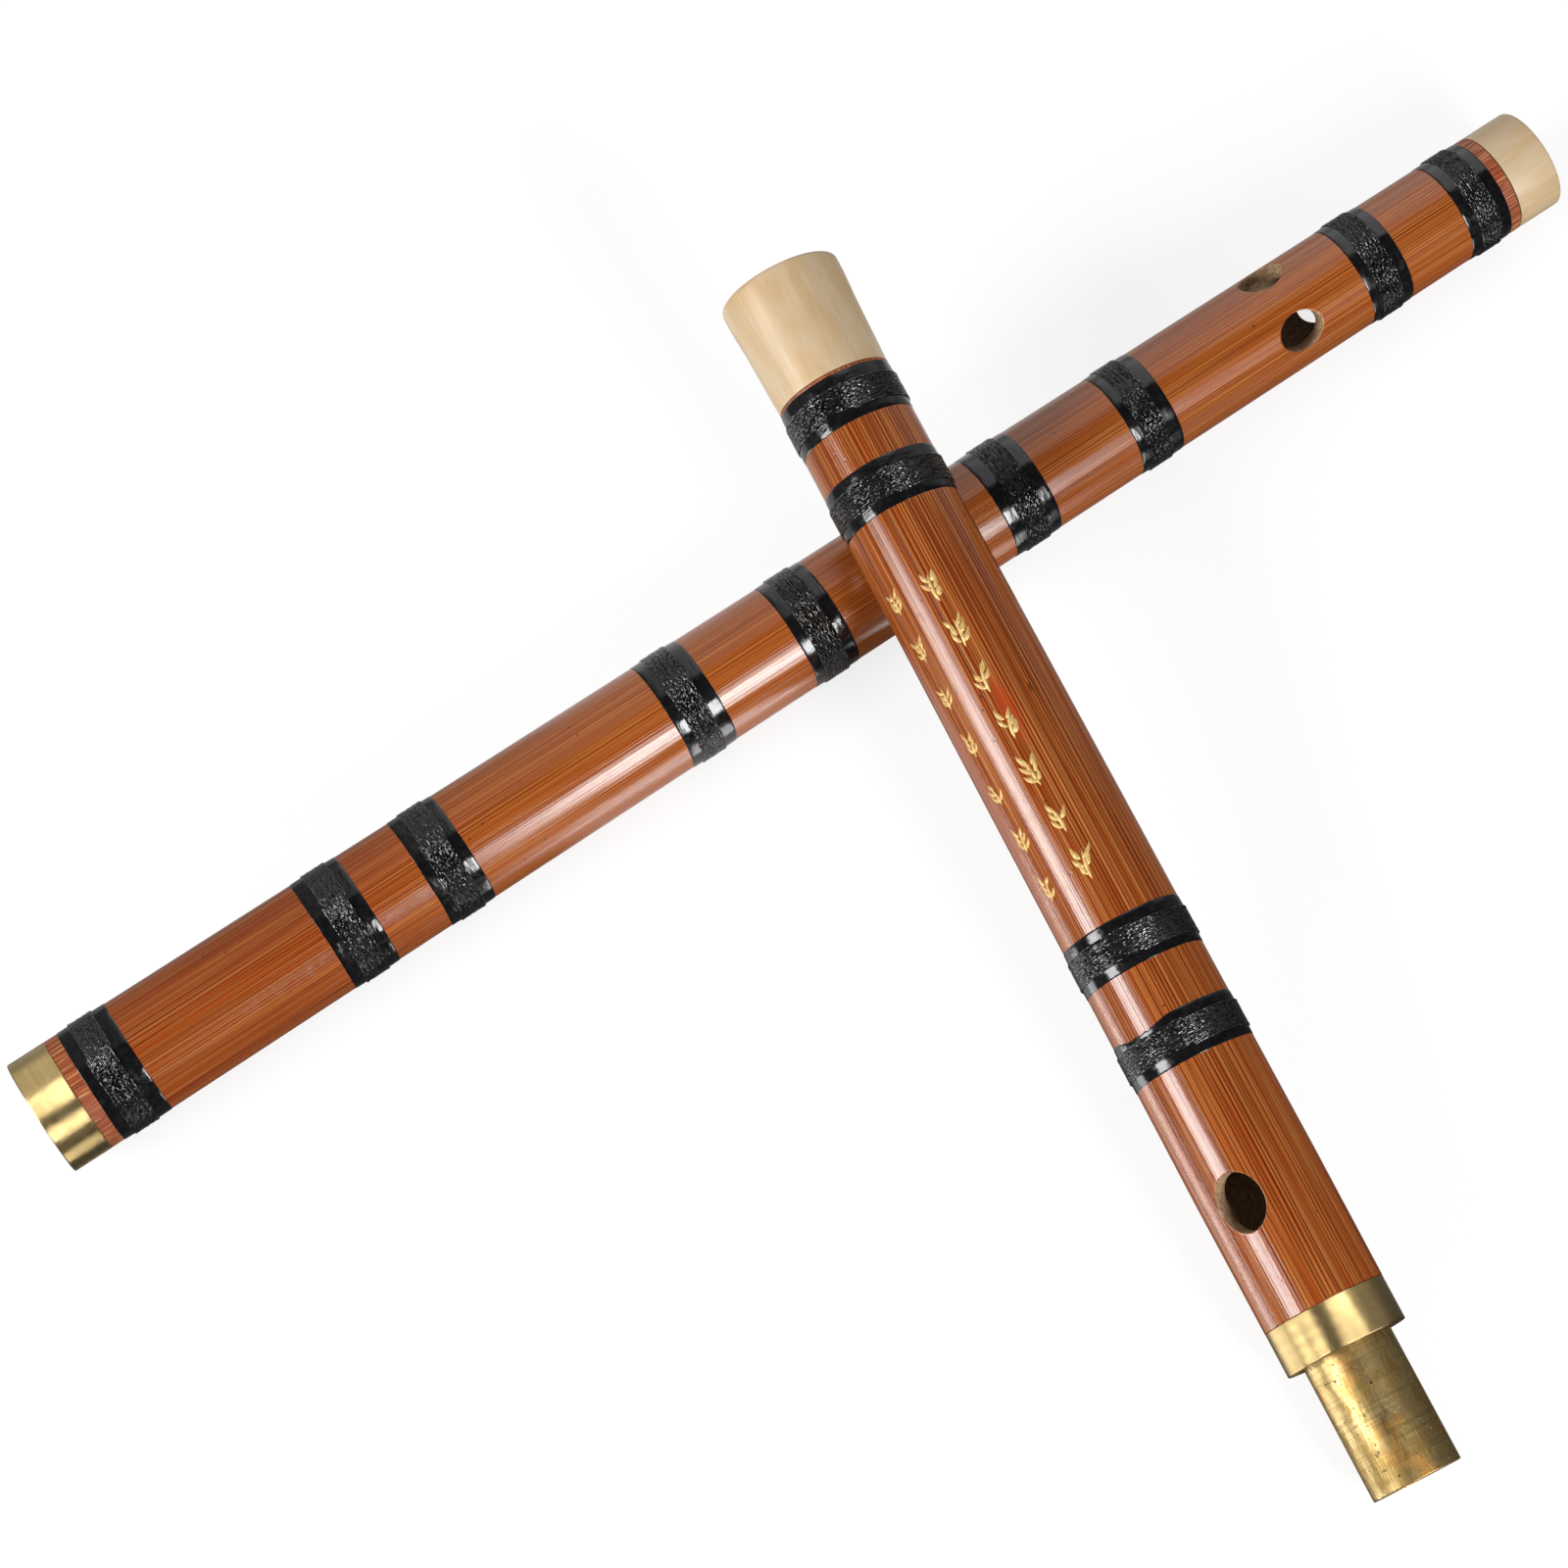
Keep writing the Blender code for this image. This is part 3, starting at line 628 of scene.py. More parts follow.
def speck_group():
    """Scattered small specks and soft dust."""
    group = Group("Specks And Dust", {"Scale": 0.5}, ("Specks", "Dust"))
    cells = group.add("ShaderNodeTexVoronoi", {"Vector": group.vector, "Scale": group.given["Scale"]})
    few = group.spread(group.noise(0.13, 2.0, 0.6), 0.56, 0.62)
    dots = group.spread(cells.outputs["Distance"], 0.09, 0.16, 1.0, 0.0)
    dust = group.spread(group.noise(0.7, 5.0, 0.65), 0.4, 0.75)
    return group.put_out(Specks=group.times(dots, few), Dust=dust)


def polar_group():
    """The way round a section's axis, as an angle times a radius, and the way along it."""
    group = Group("Round And Along", {"Radius": 12.0}, ("Round", "Along"))
    across, up, along = group.parts(group.vector)
    angle = group.calc("ARCTAN2", up, across)
    return group.put_out(Round=group.times(angle, group.given["Radius"]), Along=along)


def brushed_group():
    """Fine brushed lines that run round a turned piece."""
    group = Group("Brushed Round", {"Line": 0.08}, ("Lines", "Bands", "Clouds", "Ridges"))
    fine = group.calc("DIVIDE", 1.0, group.given["Line"])
    scale = group.add("ShaderNodeCombineXYZ", {0: 0.012, 1: 0.012, 2: fine})
    along = group.vector_calc("MULTIPLY", group.vector, scale.outputs[0])
    station = group.parts(group.vector)[2]
    ridges = [group.calc("SINE", group.times(station, pitch)) for pitch in (48.4, 24.2)]
    return group.put_out(
        Lines=group.noise(1.0, 2.0, 0.6, vector=along),
        Bands=group.noise((2.0, 2.0, 0.2), 2.0, 0.6, vector=along),
        Clouds=group.noise(0.25, 3.0, 0.6),
        Ridges=group.plus(*ridges))


GROUPS = {}
GROUP_MAKERS = {"fibres": fibre_group, "specks": speck_group, "polar": polar_group, "brushed": brushed_group}


# Materials

def shaded(colour, share):
    """A colour made darker by a share."""
    return tuple(share * value for value in colour)


def bamboo_material(section, colours):
    """Lacquered bamboo with straight fibres and their bundles, and on the head a small red stain."""
    look = Look(f"{section} bamboo", section)
    width, length, depth, count = FIBRES[section]
    shift = FIBRE_SHIFT[section]
    fibres = look.group("fibres", Width=width, Length=length, Shift=shift)
    thin = look.group("fibres", Width=0.7 * width, Length=0.3 * length, Shift=shift)
    wide = look.group("fibres", Width=2.6, Length=150.0, Shift=shift)
    specks = look.group("specks", Scale=0.42)
    wander = look.times(look.noise((0.34, 0.34, 0.006), 1.0), 11.0)
    bundles = look.calc("SINE", look.plus(look.group("polar", Radius=count)["Round"], wander))
    strength = look.spread(look.noise((1.1, 1.1, 0.02), 1.0), 0.38, 0.62, 0.15, 1.0)
    pale_bundles = look.times(look.spread(bundles, 0.3, 0.98), strength)
    dark_bundles = look.times(look.spread(bundles, -0.98, -0.3, 1.0, 0.0), strength)
    base = look.coats(
        colours.bamboo_deep,
        (look.spread(fibres["Tone"], 0.32, 0.68), colours.bamboo_warm),
        (look.spread(wide["Tone"], 0.3, 0.7, 0.0, 0.3), colours.bamboo_bright))
    if section == "foot":
        station = look.parts(look.vector)[2]
        base = look.coats(base, (look.spread(station, 60.0, 110.0, 0.0, 0.6), colours.bamboo_bright))
    line = colours.bamboo_line
    pale = colours.bamboo_pale
    for mask, share, colour in (
            (fibres["Dark"], 0.45, line), (thin["Dark"], 0.4, line), (dark_bundles, 0.42, line),
            (fibres["Pale"], 0.3, pale), (thin["Pale"], 0.36, pale), (pale_bundles, 0.3, pale)):
        base = look.coats(base, (look.times(mask, share * depth), colour))
    if section == "head":
        base = stained(look, base)
    base = look.coats(base, (look.times(specks["Specks"], 0.7), (0.05, 0.02, 0.01)))
    rough = look.plus(0.15, look.times(specks["Dust"], 0.09))
    height = look.minus(fibres["Height"], look.times(specks["Specks"], 0.8))
    return look.done(base, rough, height, 0.000022, {"IOR": 1.5})


def stained(look, base):
    """A soft red stain and two dark knots on the head's bamboo: place, size, colour and share."""
    for place, size, colour, share in (
            ((12.0, -1.2, 160.0), (1.9, 1.9, 7.5), (0.42, 0.035, 0.008), 0.62),
            ((11.2, 4.5, 162.0), (0.5, 0.5, 1.3), (0.06, 0.015, 0.005), 0.7),
            ((9.3, -7.6, 184.5), (0.35, 0.35, 0.7), (0.06, 0.02, 0.008), 0.6)):
        scaled = look.vector_calc("DIVIDE", look.vector_calc("SUBTRACT", look.vector, place), size)
        length = look.add("ShaderNodeVectorMath", {0: scaled}, operation="LENGTH")
        base = look.coats(base, (look.spread(length.outputs["Value"], 0.35, 1.2, share, 0.0), colour))
    return base


def raw_bamboo_material(name, section, pale, dark):
    """Cut bamboo on the walls of the holes and in the bore: dry and fibrous."""
    look = Look(name, section)
    grain = look.noise((1.6, 1.6, 0.9), 4.0, 0.7)
    dust = look.group("specks", Scale=1.7)["Dust"]
    base = look.coats(dark, (look.spread(grain, 0.35, 0.65), pale), (look.times(dust, 0.4), dark))
    return look.done(base, 0.8, grain, 0.00012)


def turned_bamboo_material(section, colours):
    """Bamboo that was turned down beside a ring: dry, fibrous, its lacquer cut through."""
    look = Look(f"{section} turned bamboo", section)
    fibres = look.group("fibres", Width=0.3, Length=9.0, Shift=FIBRE_SHIFT[section])
    base = look.coats(
        (0.23, 0.040, 0.009),
        (look.spread(fibres["Tone"], 0.3, 0.7), (0.36, 0.085, 0.020)),
        (look.times(fibres["Pale"], 0.7), (0.62, 0.30, 0.13)),
        (look.times(fibres["Dark"], 0.6), colours.bamboo_line))
    return look.done(base, 0.45, fibres["Height"], 0.00005)


def brass_material(name, section, colour):
    """Brass brushed round, so that its lights are drawn out along the axis."""
    look = Look(name, section)
    brushed = look.group("brushed", Line=0.08)
    dull = shaded(colour, 0.72)
    base = look.coats(
        colour,
        (look.spread(brushed["Bands"], 0.3, 0.7, 0.0, 0.5), dull),
        (look.spread(brushed["Clouds"], 0.35, 0.75, 0.0, 0.25), dull))
    rough = look.spread(brushed["Bands"], 0.3, 0.7, 0.2, 0.26)
    return look.done(base, rough, brushed["Ridges"], 0.00001, {"Metallic": 1.0})


def worn_brass_material(name, section, colour):
    """The tenon's brass: tarnished in blotches, rubbed and scratched."""
    look = Look(name, section)
    brushed = look.group("brushed", Line=0.1)
    rubbed = look.group("fibres", Width=0.22, Length=5.0)
    specks = look.group("specks", Scale=0.5)
    blotch = look.noise((0.2, 0.2, 0.14), 5.0, 0.65, 0.8)
    orange = look.noise(0.17, 3.0, 0.55, 0.4, look.vector_calc("ADD", look.vector, (40.0, 0.0, 0.0)))
    worn = look.noise((0.5, 0.5, 0.75), 6.0, 0.72, 1.2)
    base = look.coats(
        shaded(colour, 0.72),
        (look.spread(blotch, 0.38, 0.62), (0.33, 0.22, 0.07)),
        (look.spread(orange, 0.54, 0.68, 0.0, 0.75), (0.58, 0.29, 0.07)),
        (look.times(rubbed["Dark"], 0.5), (0.20, 0.13, 0.045)),
        (look.times(rubbed["Pale"], 0.4), (0.70, 0.53, 0.25)),
        (look.spread(brushed["Bands"], 0.4, 0.7, 0.0, 0.5), (0.24, 0.16, 0.05)),
        (look.spread(worn, 0.6, 0.68, 0.0, 0.85), (0.07, 0.05, 0.025)),
        (look.times(specks["Specks"], 0.9), (0.035, 0.028, 0.018)))
    height = look.minus(look.times(brushed["Lines"], 0.5), look.spread(worn, 0.6, 0.7))
    height = look.plus(height, look.times(blotch, 0.8))
    return look.done(base, look.spread(blotch, 0.3, 0.7, 0.34, 0.5), height, 0.00007, {"Metallic": 0.92})


def horn_material(section, colours):
    """Pale polished horn with cloudy lengthwise streaks."""
    look = Look(f"{section} horn", section)
    clouds = look.noise((0.16, 0.16, 0.045), 3.0, 0.5, 0.5)
    patches = look.noise((0.3, 0.3, 0.2))
    fibres = look.group("fibres", Width=0.6, Length=14.0)
    dust = look.group("specks", Scale=0.6)["Dust"]
    base = look.coats(
        colours.horn_pale,
        (look.spread(clouds, 0.36, 0.66), colours.horn_tan),
        (look.spread(patches, 0.5, 0.66, 0.0, 0.35), (0.62, 0.40, 0.20)),
        (look.spread(fibres["Tone"], 0.35, 0.7, 0.0, 0.1), shaded(colours.horn_tan, 0.8)),
        (look.times(fibres["Pale"], 0.1), (0.78, 0.68, 0.5)))
    rough = look.plus(0.3, look.times(dust, 0.12))
    depth = {"Subsurface Weight": 0.15, "Subsurface Radius": (0.004, 0.0025, 0.0012), "Subsurface Scale": 1.0}
    return look.done(base, rough, fibres["Tone"], 0.00001, depth)


def lacquer_material(section):
    """Thick black lacquer with brush ripples and a little dust."""
    look = Look(f"{section} lacquer", section)
    ripple = look.noise((0.35, 0.35, 0.9), 3.0, 0.55)
    dust = look.group("specks", Scale=1.1)["Dust"]
    base = look.coats((0.005, 0.005, 0.006), (look.times(dust, 0.25), (0.03, 0.029, 0.028)))
    return look.done(base, look.plus(0.1, look.times(dust, 0.16)), ripple, 0.00006)


def thread_material(section):
    """Black thread, stiff and shiny with lacquer in places."""
    look = Look(f"{section} thread", section)
    polar = look.group("polar", Radius=12.2)
    flat = look.add("ShaderNodeCombineXYZ", {
        0: look.times(polar["Round"], 0.85), 1: look.times(polar["Along"], 2.3)})
    strokes = look.noise(1.0, 1.0, 0.5, 0.4, flat.outputs[0])
    clumps = look.noise(0.4, 3.0, 0.6)
    base = look.coats((0.003, 0.003, 0.003), (look.spread(strokes, 0.35, 0.7), (0.016, 0.0155, 0.015)))
    return look.done(base, look.spread(clumps, 0.4, 0.6, 0.12, 0.26), strokes, 0.0004, {"IOR": 1.75})


def gilt_material():
    """Gilt paint in fine lines."""
    look = Look("gilt paint", "head")
    patch = look.noise(1.4, 4.0, 0.65)
    base = look.coats((0.86, 0.60, 0.24), (look.spread(patch, 0.35, 0.68), (0.62, 0.36, 0.10)))
    return look.done(base, look.spread(patch, 0.3, 0.7, 0.35, 0.55), patch, 0.00005, {"Metallic": 0.35})


def cork_material():
    """Fine-grained cork."""
    look = Look("cork", "head")
    grain = look.noise(0.8, 4.0, 0.7)
    specks = look.group("specks", Scale=0.9)
    base = look.coats(
        (0.30, 0.16, 0.07),
        (look.spread(grain, 0.35, 0.65), (0.50, 0.31, 0.16)),
        (specks["Specks"], (0.10, 0.05, 0.02)))
    return look.done(base, 0.9, grain, 0.0002)


def film_material():
    """Papery reed film, a little glossy."""
    look = Look("reed film", "foot")
    tone = look.group("fibres", Width=0.25, Length=5.0)["Tone"]
    return look.done(look.coats((0.70, 0.64, 0.48), (tone, (0.88, 0.85, 0.74))), 0.4, tone, 0.00004)


# Ornament

def leaf(points, faces, base, aim, length, width, bend):
    """A pointed leaf stroke laid on the head's bamboo: base is (station, arc) in millimetres."""
    steps = 10
    start = len(points)
    for lift in (0.035, -0.05):
        for step in range(steps + 1):
            share = step / steps
            half = width / 2 * (math.sin(math.pi * share ** 0.75) ** 0.9 if 0 < share < 1 else 0.02)
            turn = aim + bend * (share - 0.5)
            spot = Vector((math.cos(turn), math.sin(turn))) * length * share
            side = Vector((-math.sin(turn), math.cos(turn))) * half
            for sign in (-1, 1):
                station = base[0] + spot.x + sign * side.x
                arc = base[1] + spot.y + sign * side.y
                radius = head_radius(station)
                points.append(local_point(station, radius + lift, arc / radius))
    faces += slab_faces(steps, 1, start)


def sprig(points, faces, station, arc, size, draw):
    """A small sprig: a short stem with a few leaves, each one a little different."""
    tilt = 0.5 * draw.uniform(-0.35, 0.35)
    leaf(points, faces, (station - 0.5 * size, arc), tilt, size, 0.13 * size, draw.uniform(-0.3, 0.3))
    for place in (-0.32, -0.05, 0.2):
        for sign in (-1, 1):
            if draw.random() < 0.2:
                continue
            aim = tilt + sign * draw.uniform(0.55, 1.0)
            length = size * draw.uniform(0.36, 0.56)
            base = (station + place * size, arc + sign * 0.03 * size)
            leaf(points, faces, base, aim, length, 0.16 * size * draw.uniform(0.8, 1.15), sign * -0.4)


# Settings

LENGTH = {"precision": 5, "subtype": "DISTANCE", "unit": "LENGTH"}
COLOUR = {"size": 3, "min": 0, "max": 1, "subtype": "COLOR"}


class DiziSizes(bpy.types.PropertyGroup):
    """Sizes of the fine work."""
    rim: FloatProperty(
        name="Hole rim", description="Rounding of the rims of the sound holes",
        default=0.00022, min=0.00005, max=0.0005, **LENGTH)
    thread: FloatProperty(
        name="Thread", description="Thickness of the binding thread",
        default=0.00038, min=0.0002, max=0.001, **LENGTH)
    thread_rise: FloatProperty(
        name="Thread rise", description="How far the windings stand above the bamboo",
        default=0.0004, min=0.0002, max=0.001, **LENGTH)
    sprig: FloatProperty(
        name="Sprig", description="Length of a gilt sprig of the main row",
        default=0.0062, min=0.002, max=0.01, **LENGTH)
    columns: IntProperty(
        name="Columns", description="Faces round a turned piece", default=144, min=48, max=256)


class DiziColours(bpy.types.PropertyGroup):
    """Colours of the finishes."""
    bamboo_deep: FloatVectorProperty(
        name="Bamboo, deep", description="Darker fibres", default=(0.20, 0.030, 0.004), **COLOUR)
    bamboo_warm: FloatVectorProperty(
        name="Bamboo, warm", description="Main colour of the fibres", default=(0.29, 0.050, 0.006), **COLOUR)
    bamboo_bright: FloatVectorProperty(
        name="Bamboo, bright", description="Brighter stretches", default=(0.36, 0.088, 0.011), **COLOUR)
    bamboo_pale: FloatVectorProperty(
        name="Bamboo, pale lines", description="Thin pale fibres", default=(0.60, 0.25, 0.07), **COLOUR)
    bamboo_line: FloatVectorProperty(
        name="Bamboo, dark lines", description="Thin dark fibres", default=(0.07, 0.010, 0.002), **COLOUR)
    brass: FloatVectorProperty(
        name="Brass", description="Brushed brass of the ferrules", default=(0.78, 0.57, 0.25), **COLOUR)
    horn_pale: FloatVectorProperty(
        name="Horn, pale", description="Paler part of the horn", default=(0.62, 0.475, 0.305), **COLOUR)
    horn_tan: FloatVectorProperty(
        name="Horn, tan", description="Darker clouds in the horn", default=(0.56, 0.395, 0.215), **COLOUR)


# Operators

class DIZI_OT_bamboo(bpy.types.Operator):
    """Build both bamboo tubes with their drilled holes"""
    bl_idname = "dizi.bamboo"
    bl_label = "Bamboo tubes"

    def execute(self, context):
        colours = context.scene.dizi_colours
        rim = context.scene.dizi_sizes.rim / MM
        bore = (0.42, 0.29, 0.18)
        for section in SECTIONS:
            materials = [
                bamboo_material(section, colours),
                raw_bamboo_material(f"{section} hole wall", section, (0.52, 0.36, 0.21), (0.25, 0.14, 0.07)),
                raw_bamboo_material(f"{section} bore", section, bore, shaded(bore, 0.5)),
                turned_bamboo_material(section, colours),
            ]
            piece = drilled_tube(f"{section}_bamboo_dressed", section, materials, rim)
            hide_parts(f"{section}_tube")
        return {"FINISHED"}


def ferrule_outline(start, end, mouth):
    """Outline of a ferrule with a lip that stands inwards to the mouth's radius."""
    lip = start + 0.9
    return rounded_outline([
        (JOINT_RADIUS, end, 0.12), (JOINT_RADIUS, start, 0.3), (mouth, start, 0.1), (mouth, lip, 0.05),
        (FERRULE_SEAT, lip, 0.05), (FERRULE_SEAT, end, 0.05)])


class DIZI_OT_brass(bpy.types.Operator):
    """Turn the ferrules, the socket lining and the tenon"""
    bl_idname = "dizi.brass"
    bl_label = "Brass joint"

    def execute(self, context):
        columns = context.scene.dizi_sizes.columns
        colour = context.scene.dizi_colours.brass
        foot_brass = brass_material("foot brass", "foot", colour)
        head_brass = brass_material("head brass", "head", colour)
        tenon_brass = worn_brass_material("tenon brass", "head", colour)
        ring = ferrule_outline(0.0, FOOT_FERRULE_END, 9.9)
        piece = lathe("socket_ferrule_dressed", "foot", ring, foot_brass, columns)
        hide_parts("socket_ferrule")
        lining = rounded_outline([
            (LINING_RADIUS, SOCKET_DEPTH, 0.0), (LINING_RADIUS, 0.0, 0.12), (SOCKET_RADIUS, 0.0, 0.2),
            (SOCKET_RADIUS, SOCKET_DEPTH, 0.0)])
        piece = lathe("socket_lining_dressed", "foot", lining, foot_brass, columns)
        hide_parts("socket_lining")
        ring = ferrule_outline(TENON_LENGTH, HEAD_FERRULE_END, 9.2)
        piece = lathe("head_ferrule_dressed", "head", ring, head_brass, columns)
        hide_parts("head_ferrule")
        tube = rounded_outline([
            (TENON_RADIUS, TENON_END, 0.0), (TENON_RADIUS, 14.0, 0.0), (TENON_RADIUS, 0.0, 0.25),
            (TENON_BORE, 0.0, 0.15), (TENON_BORE, TENON_END, 0.0)])
        piece = lathe("tenon_dressed", "head", tube, tenon_brass, columns)
        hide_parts("tenon")
        return {"FINISHED"}


class DIZI_OT_horn(bpy.types.Operator):
    """Turn the horn ring of each open end"""
    bl_idname = "dizi.horn"
    bl_label = "Horn ends"

    def execute(self, context):
        columns = context.scene.dizi_sizes.columns
        colours = context.scene.dizi_colours
        edge = foot_radius(FOOT_CAP_START)
        seat, seat_end, mouth = 9.4, 351.0, 7.2
        outline = rounded_outline([
            (edge, FOOT_LENGTH, 0.7), (edge + 0.02, 349.0, 0.0), (edge, FOOT_CAP_START, 0.15),
            (seat, FOOT_CAP_START, 0.0), (seat, seat_end, 0.0), (mouth, seat_end, 0.0),
            (mouth, FOOT_LENGTH, 0.5)])
        piece = lathe("foot_horn_dressed", "foot", outline, horn_material("foot", colours), columns)
        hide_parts("foot_end_cap")
        flare = ((257.6, 12.53), (255.0, 12.5), (252.0, 12.32), (249.0, 12.15), (246.0, 12.05),
                 (243.0, 11.97), (240.0, 11.88), (238.0, 11.82), (236.0, 11.73))
        seat, seat_end = 10.0, 246.8
        corners = [(12.53, HEAD_LENGTH, 0.9)]
        corners += [(radius, station, 0.0) for station, radius in flare]
        corners += [(11.72, HEAD_CAP_START, 0.1), (seat, HEAD_CAP_START, 0.0), (seat, seat_end, 0.0),
                    (BORE_RADIUS, seat_end, 0.0), (BORE_RADIUS, HEAD_LENGTH, 0.6)]
        outline = rounded_outline(corners, 6)
        piece = lathe("head_horn_dressed", "head", outline, horn_material("head", colours), columns)
        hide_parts("head_end_cap")
        return {"FINISHED"}


class DIZI_OT_bindings(bpy.types.Operator):
    """Lay the lacquer and wind the thread of every binding"""
    bl_idname = "dizi.bindings"
    bl_label = "Bindings"

    def execute(self, context):
        sizes = context.scene.dizi_sizes
        for section, bindings in BINDINGS.items():
            lacquer = lacquer_material(section)
            thread = thread_material(section)
            for number, binding in enumerate(bindings, 1):
                seed = number + (20 if section == "head" else 0)
                nick = CHIPPED.get((section, number))
                ring = lacquer_ring(f"{section}_lacquer_ring_{number}", section, binding, seed, lacquer, nick)
                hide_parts(f"{section}_lacquer_{number}")
                coil = winding(f"{section}_winding_{number}", section, binding, seed, thread,
                               sizes.thread / MM, sizes.thread_rise / MM)
                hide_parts(f"{section}_thread_{number}")
        return {"FINISHED"}


class DIZI_OT_ornament(bpy.types.Operator):
    """Paint two rows of small gilt sprigs on the head"""
    bl_idname = "dizi.ornament"
    bl_label = "Gilt sprigs"

    def execute(self, context):
        size = context.scene.dizi_sizes.sprig / MM
        draw = random.Random(8)
        points = []
        faces = []
        # Rows of sprigs: first station, pitch, degrees round the tube, drift in degrees, length
        rows = ((187.5, 10.1, 14.0, 0.4, size), (189.0, 10.4, 57.0, 0.0, 0.78 * size))
        sprigs = 7
        tube_radius = 12.0
        for station, pitch, degrees, drift, length in rows:
            for index in range(sprigs):
                arc = -math.radians(degrees - drift * index) * tube_radius
                sprig(points, faces, station - pitch * index, arc, length, draw)
        piece = make_piece("gilt_sprigs", "head", points, faces, [gilt_material()], sharp=0)
        return {"FINISHED"}


class DIZI_OT_inside(bpy.types.Operator):
    """Fit the cork stopper and the reed film"""
    bl_idname = "dizi.inside"
    bl_label = "Stopper and film"

    def execute(self, context):
        outline = [(0.02, 89.5), (7.3, 89.5), (7.65, 89.4), (7.8, 89.1),
                   (7.8, 73.9), (7.65, 73.6), (7.3, 73.5), (0.02, 73.5)]
        piece = lathe("stopper_dressed", "head", outline, cork_material(), 72, body="stopper")
        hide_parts("stopper")
        film_start = 38.0
        film_length = 17.0
        half_angle = 32.0
        columns = 48
        rows = 60
        base = foot_radius(film_start) + 0.2
        points = []
        for lift in (0.12, 0.0):
            for row in range(rows + 1):
                station = film_start + film_length * row / rows
                for column in range(columns + 1):
                    angle = math.radians(FRONT - half_angle + 2 * half_angle * column / columns)
                    crease = 0.03 * math.sin(station * 4.4 + 0.6 * math.sin(angle * 9.0))
                    points.append(local_point(station, base + lift + crease, angle))
        film = make_piece("reed_film", "foot", points, slab_faces(rows, columns), [film_material()])
        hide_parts("membrane")
        return {"FINISHED"}


class DIZI_OT_stage(bpy.types.Operator):
    """Set up the white table, the lamps, the surround and the camera"""
    bl_idname = "dizi.stage"
    bl_label = "Table, lamps and camera"

    def execute(self, context):
        table_top()
        lamps()
        surround()
        camera()
        context.scene.view_settings.view_transform = "Standard"
        return {"FINISHED"}


def table_top():
    """A glossy table: plain white to the camera with a faint shadow; in reflections it shows painted light
    and painted shadow in strips.
    """
    size = 3.0
    corners = [(-size, -size, 0), (size, -size, 0), (size, size, 0), (-size, size, 0)]
    mesh = bpy.data.meshes.new("table")
    mesh.from_pydata(corners, [], [(0, 1, 2, 3)])
    look = Look("white table")
    x, y = look.parts(look.vector)[:2]
    # Painted light and shade on the floor, seen only in reflections: painted light on the floor just behind
    # the foot, brightest along its middle, and in a strip left of the head; painted shadow (0.03) on the near
    # side and to the right of the head.
    middle = look.minus(look.spread(x, -0.09, -0.04, 0.3, 0.95), look.spread(x, 0.08, 0.13, 0.0, 0.6))
    behind = look.times(look.spread(y, 0.05, 0.09), look.spread(y, 0.118, 0.136, 1.0, 0.2))
    slant = look.minus(x, look.times(y, 0.13))
    left = look.times(
        look.spread(slant, -0.08, -0.06, 0.0, 0.95), look.spread(slant, -0.012, -0.002, 1.0, 0.0))
    painted_floor_light_and_shade = look.plus(look.calc("MAXIMUM", look.times(behind, middle), left), 0.03)
    path = look.add("ShaderNodeLightPath").outputs
    plain = look.times(look.minus(1.0, path["Is Glossy Ray"]), 0.62)
    look.set({"Base Color": look.calc("MAXIMUM", painted_floor_light_and_shade, plain), "Roughness": 0.12, "IOR": 2.8})
    glow = look.add("ShaderNodeEmission", {"Color": (1.0, 1.0, 1.0), "Strength": 0.82})
    flat = look.add("ShaderNodeBsdfDiffuse", {"Color": (0.22, 0.22, 0.22)})
    seen = look.add("ShaderNodeAddShader", {0: glow.outputs[0], 1: flat.outputs[0]})
    choice = look.add("ShaderNodeMixShader", {
        0: path["Is Camera Ray"], 1: look.shader.outputs[0], 2: seen.outputs[0]})
    look.feed(look.tree.nodes["Material Output"].inputs["Surface"], choice.outputs[0])
    mesh.materials.append(look.material)
    new_object("table", mesh)


def area_lamp(name, place, target, width, height, power):
    """A soft rectangular lamp that faces a point."""
    data = bpy.data.lights.new(name, "AREA")
    data.shape = "RECTANGLE"
    data.size = width
    data.size_y = height
    data.energy = power
    item = new_object(name, data)
    item.location = place
    item.rotation_euler = (Vector(target) - Vector(place)).to_track_quat("-Z", "Y").to_euler()


def lamps():
    """A soft box on the near side with a pale board to its right, and a wide soft box on the left."""
    area_lamp("near soft box", (0.147, -0.81, 0.52), (0.02, 0.07, 0.0), 0.235, 0.47, 7.6)
    area_lamp("near board", (0.34, -0.78, 0.50), (0.02, 0.07, 0.0), 0.16, 0.45, 0.45)
    area_lamp("left soft box", (-1.00, 0.16, 0.58), (0.0, 0.0, 0.02), 0.56, 0.46, 12.5)


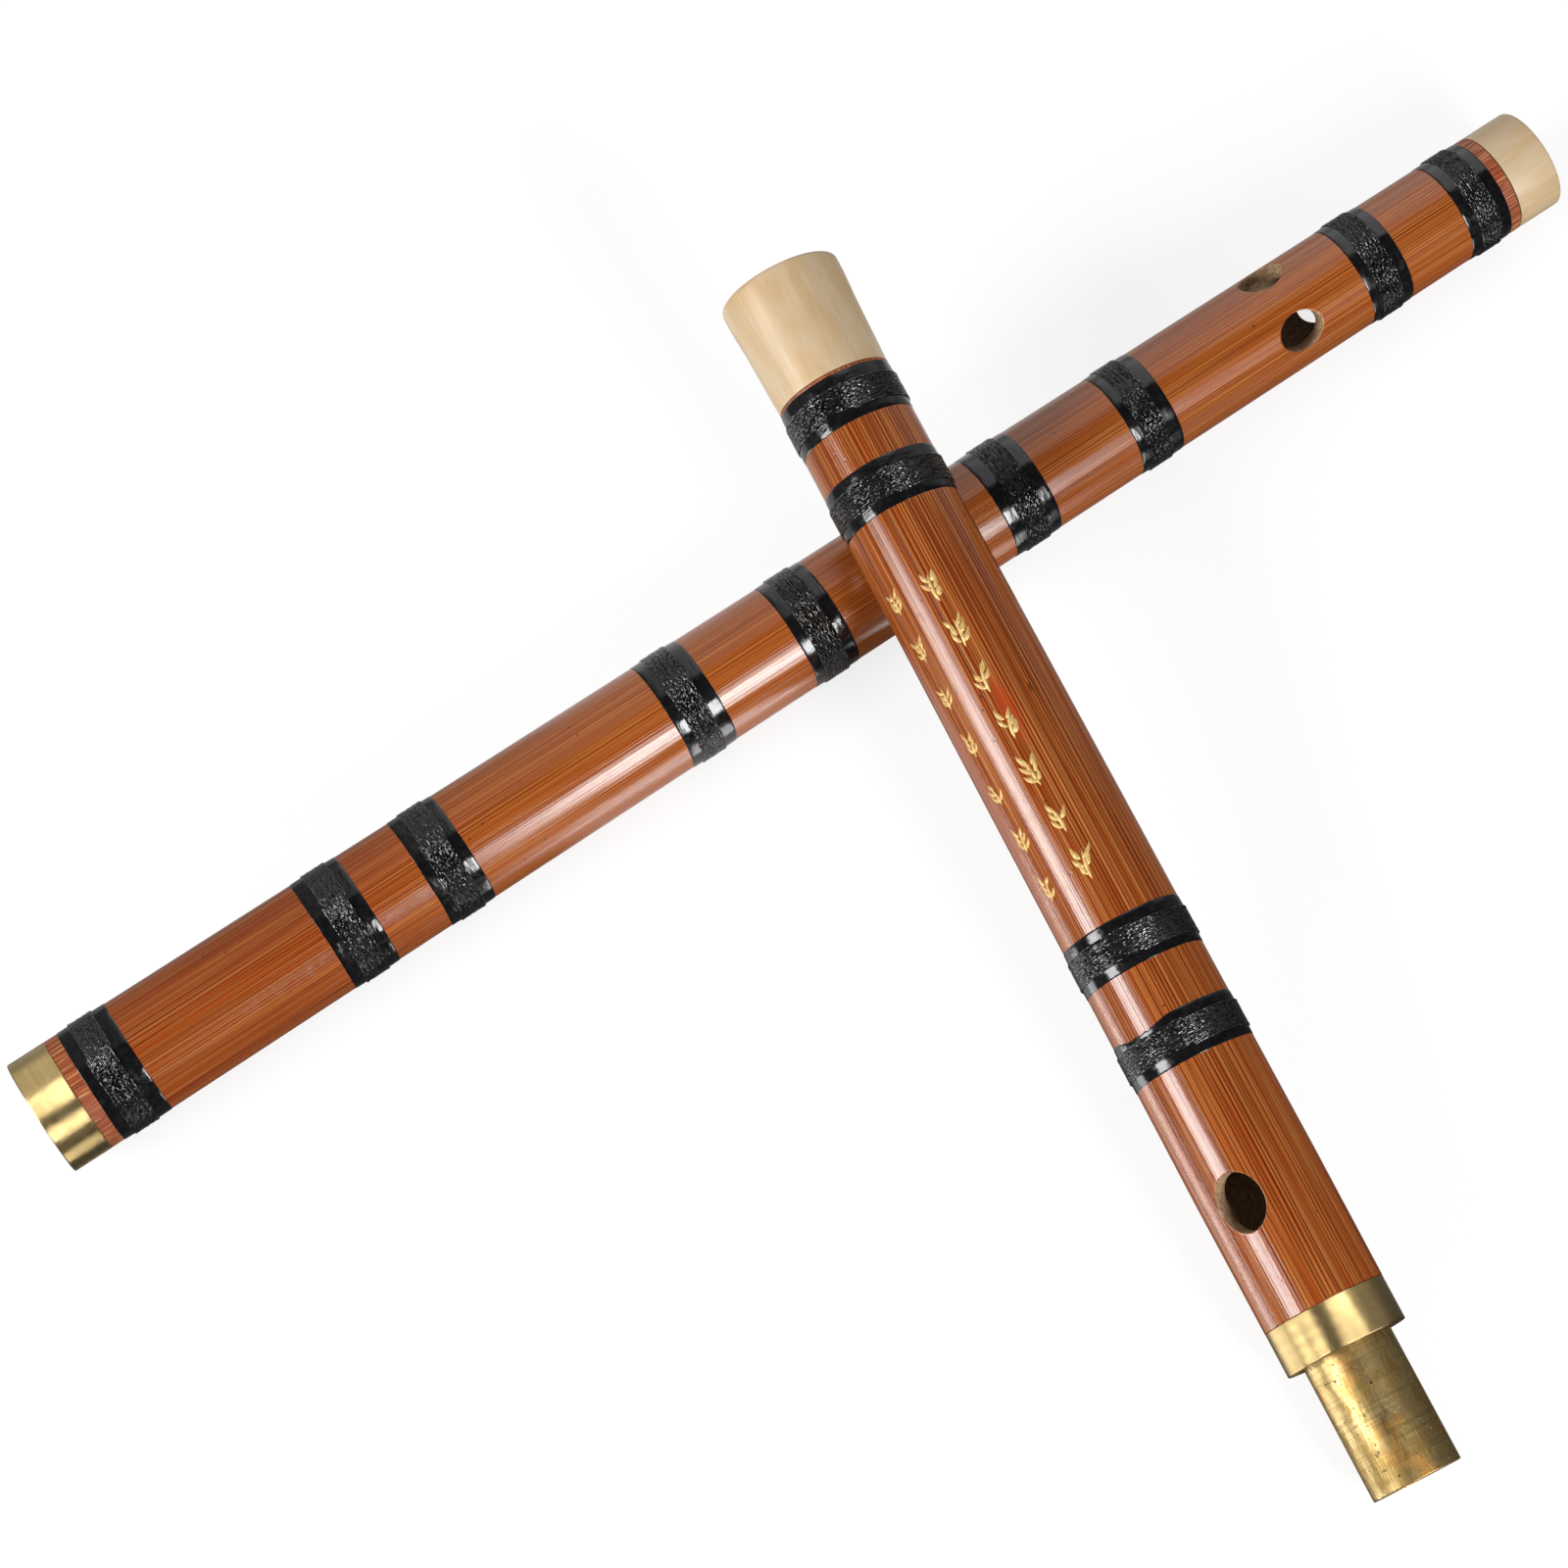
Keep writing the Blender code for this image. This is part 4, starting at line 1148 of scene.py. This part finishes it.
def surround():
    """White for the camera; for the object a studio that is bright behind on the right and dim elsewhere."""
    world = bpy.data.worlds.new("studio")
    bpy.context.scene.world = world
    world.use_nodes = True
    nodes = Nodes(world.node_tree)
    nodes.tree.nodes.clear()
    across, back = nodes.parts(nodes.add("ShaderNodeTexCoord").outputs["Generated"])[:2]
    behind = nodes.spread(nodes.plus(back, nodes.times(across, 0.17)), 0.2, 0.32)
    bright = nodes.spread(across, 0.02, 0.2, 0.15, 1.05)
    far = nodes.spread(across, 0.22, 0.32, 0.0, 0.3)
    panel = nodes.times(behind, nodes.plus(bright, far))
    panel = nodes.times(panel, nodes.spread(across, 0.42, 0.7, 1.0, 0.4))
    path = nodes.add("ShaderNodeLightPath").outputs
    share = path["Is Glossy Ray"]
    glossy = nodes.times(share, nodes.plus(panel, 0.02))
    diffuse = nodes.times(nodes.minus(1.0, share), nodes.plus(nodes.times(panel, 0.58), 0.18))
    strength = nodes.plus(glossy, diffuse)
    for ray in ("Is Camera Ray", "Is Transmission Ray"):
        strength = nodes.calc("MAXIMUM", strength, path[ray])
    light = nodes.add("ShaderNodeBackground", {"Color": (1.0, 1.0, 1.0), "Strength": strength})
    nodes.add("ShaderNodeOutputWorld", {"Surface": light.outputs[0]})


def camera():
    """The camera above the near side, turned so that the sections cross the frame."""
    right = Vector((0.8291964, -0.5540001, -0.0742780))
    down = Vector((-0.5417324, -0.7637812, -0.3509478))
    forward = Vector((0.1376930, 0.3312435, -0.9334444))
    place = Vector((0.043316, -0.292508, 0.764784)) + Vector((FOOT_START.x, FOOT_START.y, -0.00015))
    data = bpy.data.cameras.new("camera")
    data.lens = 95.18
    data.sensor_width = 36.0
    data.clip_start = 0.01
    data.clip_end = 20.0
    item = new_object("camera", data)
    turn = Matrix((right, -down, -forward)).transposed().to_4x4()
    item.matrix_world = Matrix.Translation(place) @ turn
    bpy.context.scene.camera = item


class DIZI_PT_looks(bpy.types.Panel):
    """Sidebar panel with the settings and the steps"""
    bl_idname = "DIZI_PT_looks"
    bl_label = "Dizi"
    bl_space_type = "VIEW_3D"
    bl_region_type = "UI"
    bl_category = "Dizi"

    def draw(self, context):
        layout = self.layout
        for group in (context.scene.dizi_sizes, context.scene.dizi_colours):
            column = layout.column(align=True)
            for key in group.bl_rna.properties.keys():
                if key not in {"rna_type", "name"}:
                    column.prop(group, key)
        column = layout.column(align=True)
        for step in STEPS:
            column.operator(step.bl_idname)


STEPS = (DIZI_OT_bamboo, DIZI_OT_brass, DIZI_OT_horn, DIZI_OT_bindings, DIZI_OT_ornament, DIZI_OT_inside,
         DIZI_OT_stage)
CLASSES = (DiziSizes, DiziColours, *STEPS, DIZI_PT_looks)


def register():
    for item in CLASSES:
        bpy.utils.register_class(item)
    bpy.types.Scene.dizi_sizes = PointerProperty(type=DiziSizes)
    bpy.types.Scene.dizi_colours = PointerProperty(type=DiziColours)


def unregister():
    del bpy.types.Scene.dizi_colours
    del bpy.types.Scene.dizi_sizes
    for item in reversed(CLASSES):
        bpy.utils.unregister_class(item)


def main():
    register()
    bpy.ops.dizi.bamboo()
    bpy.ops.dizi.brass()
    bpy.ops.dizi.horn()
    bpy.ops.dizi.bindings()
    bpy.ops.dizi.ornament()
    bpy.ops.dizi.inside()
    bpy.ops.dizi.stage()


if __name__ == "__main__":
    main()
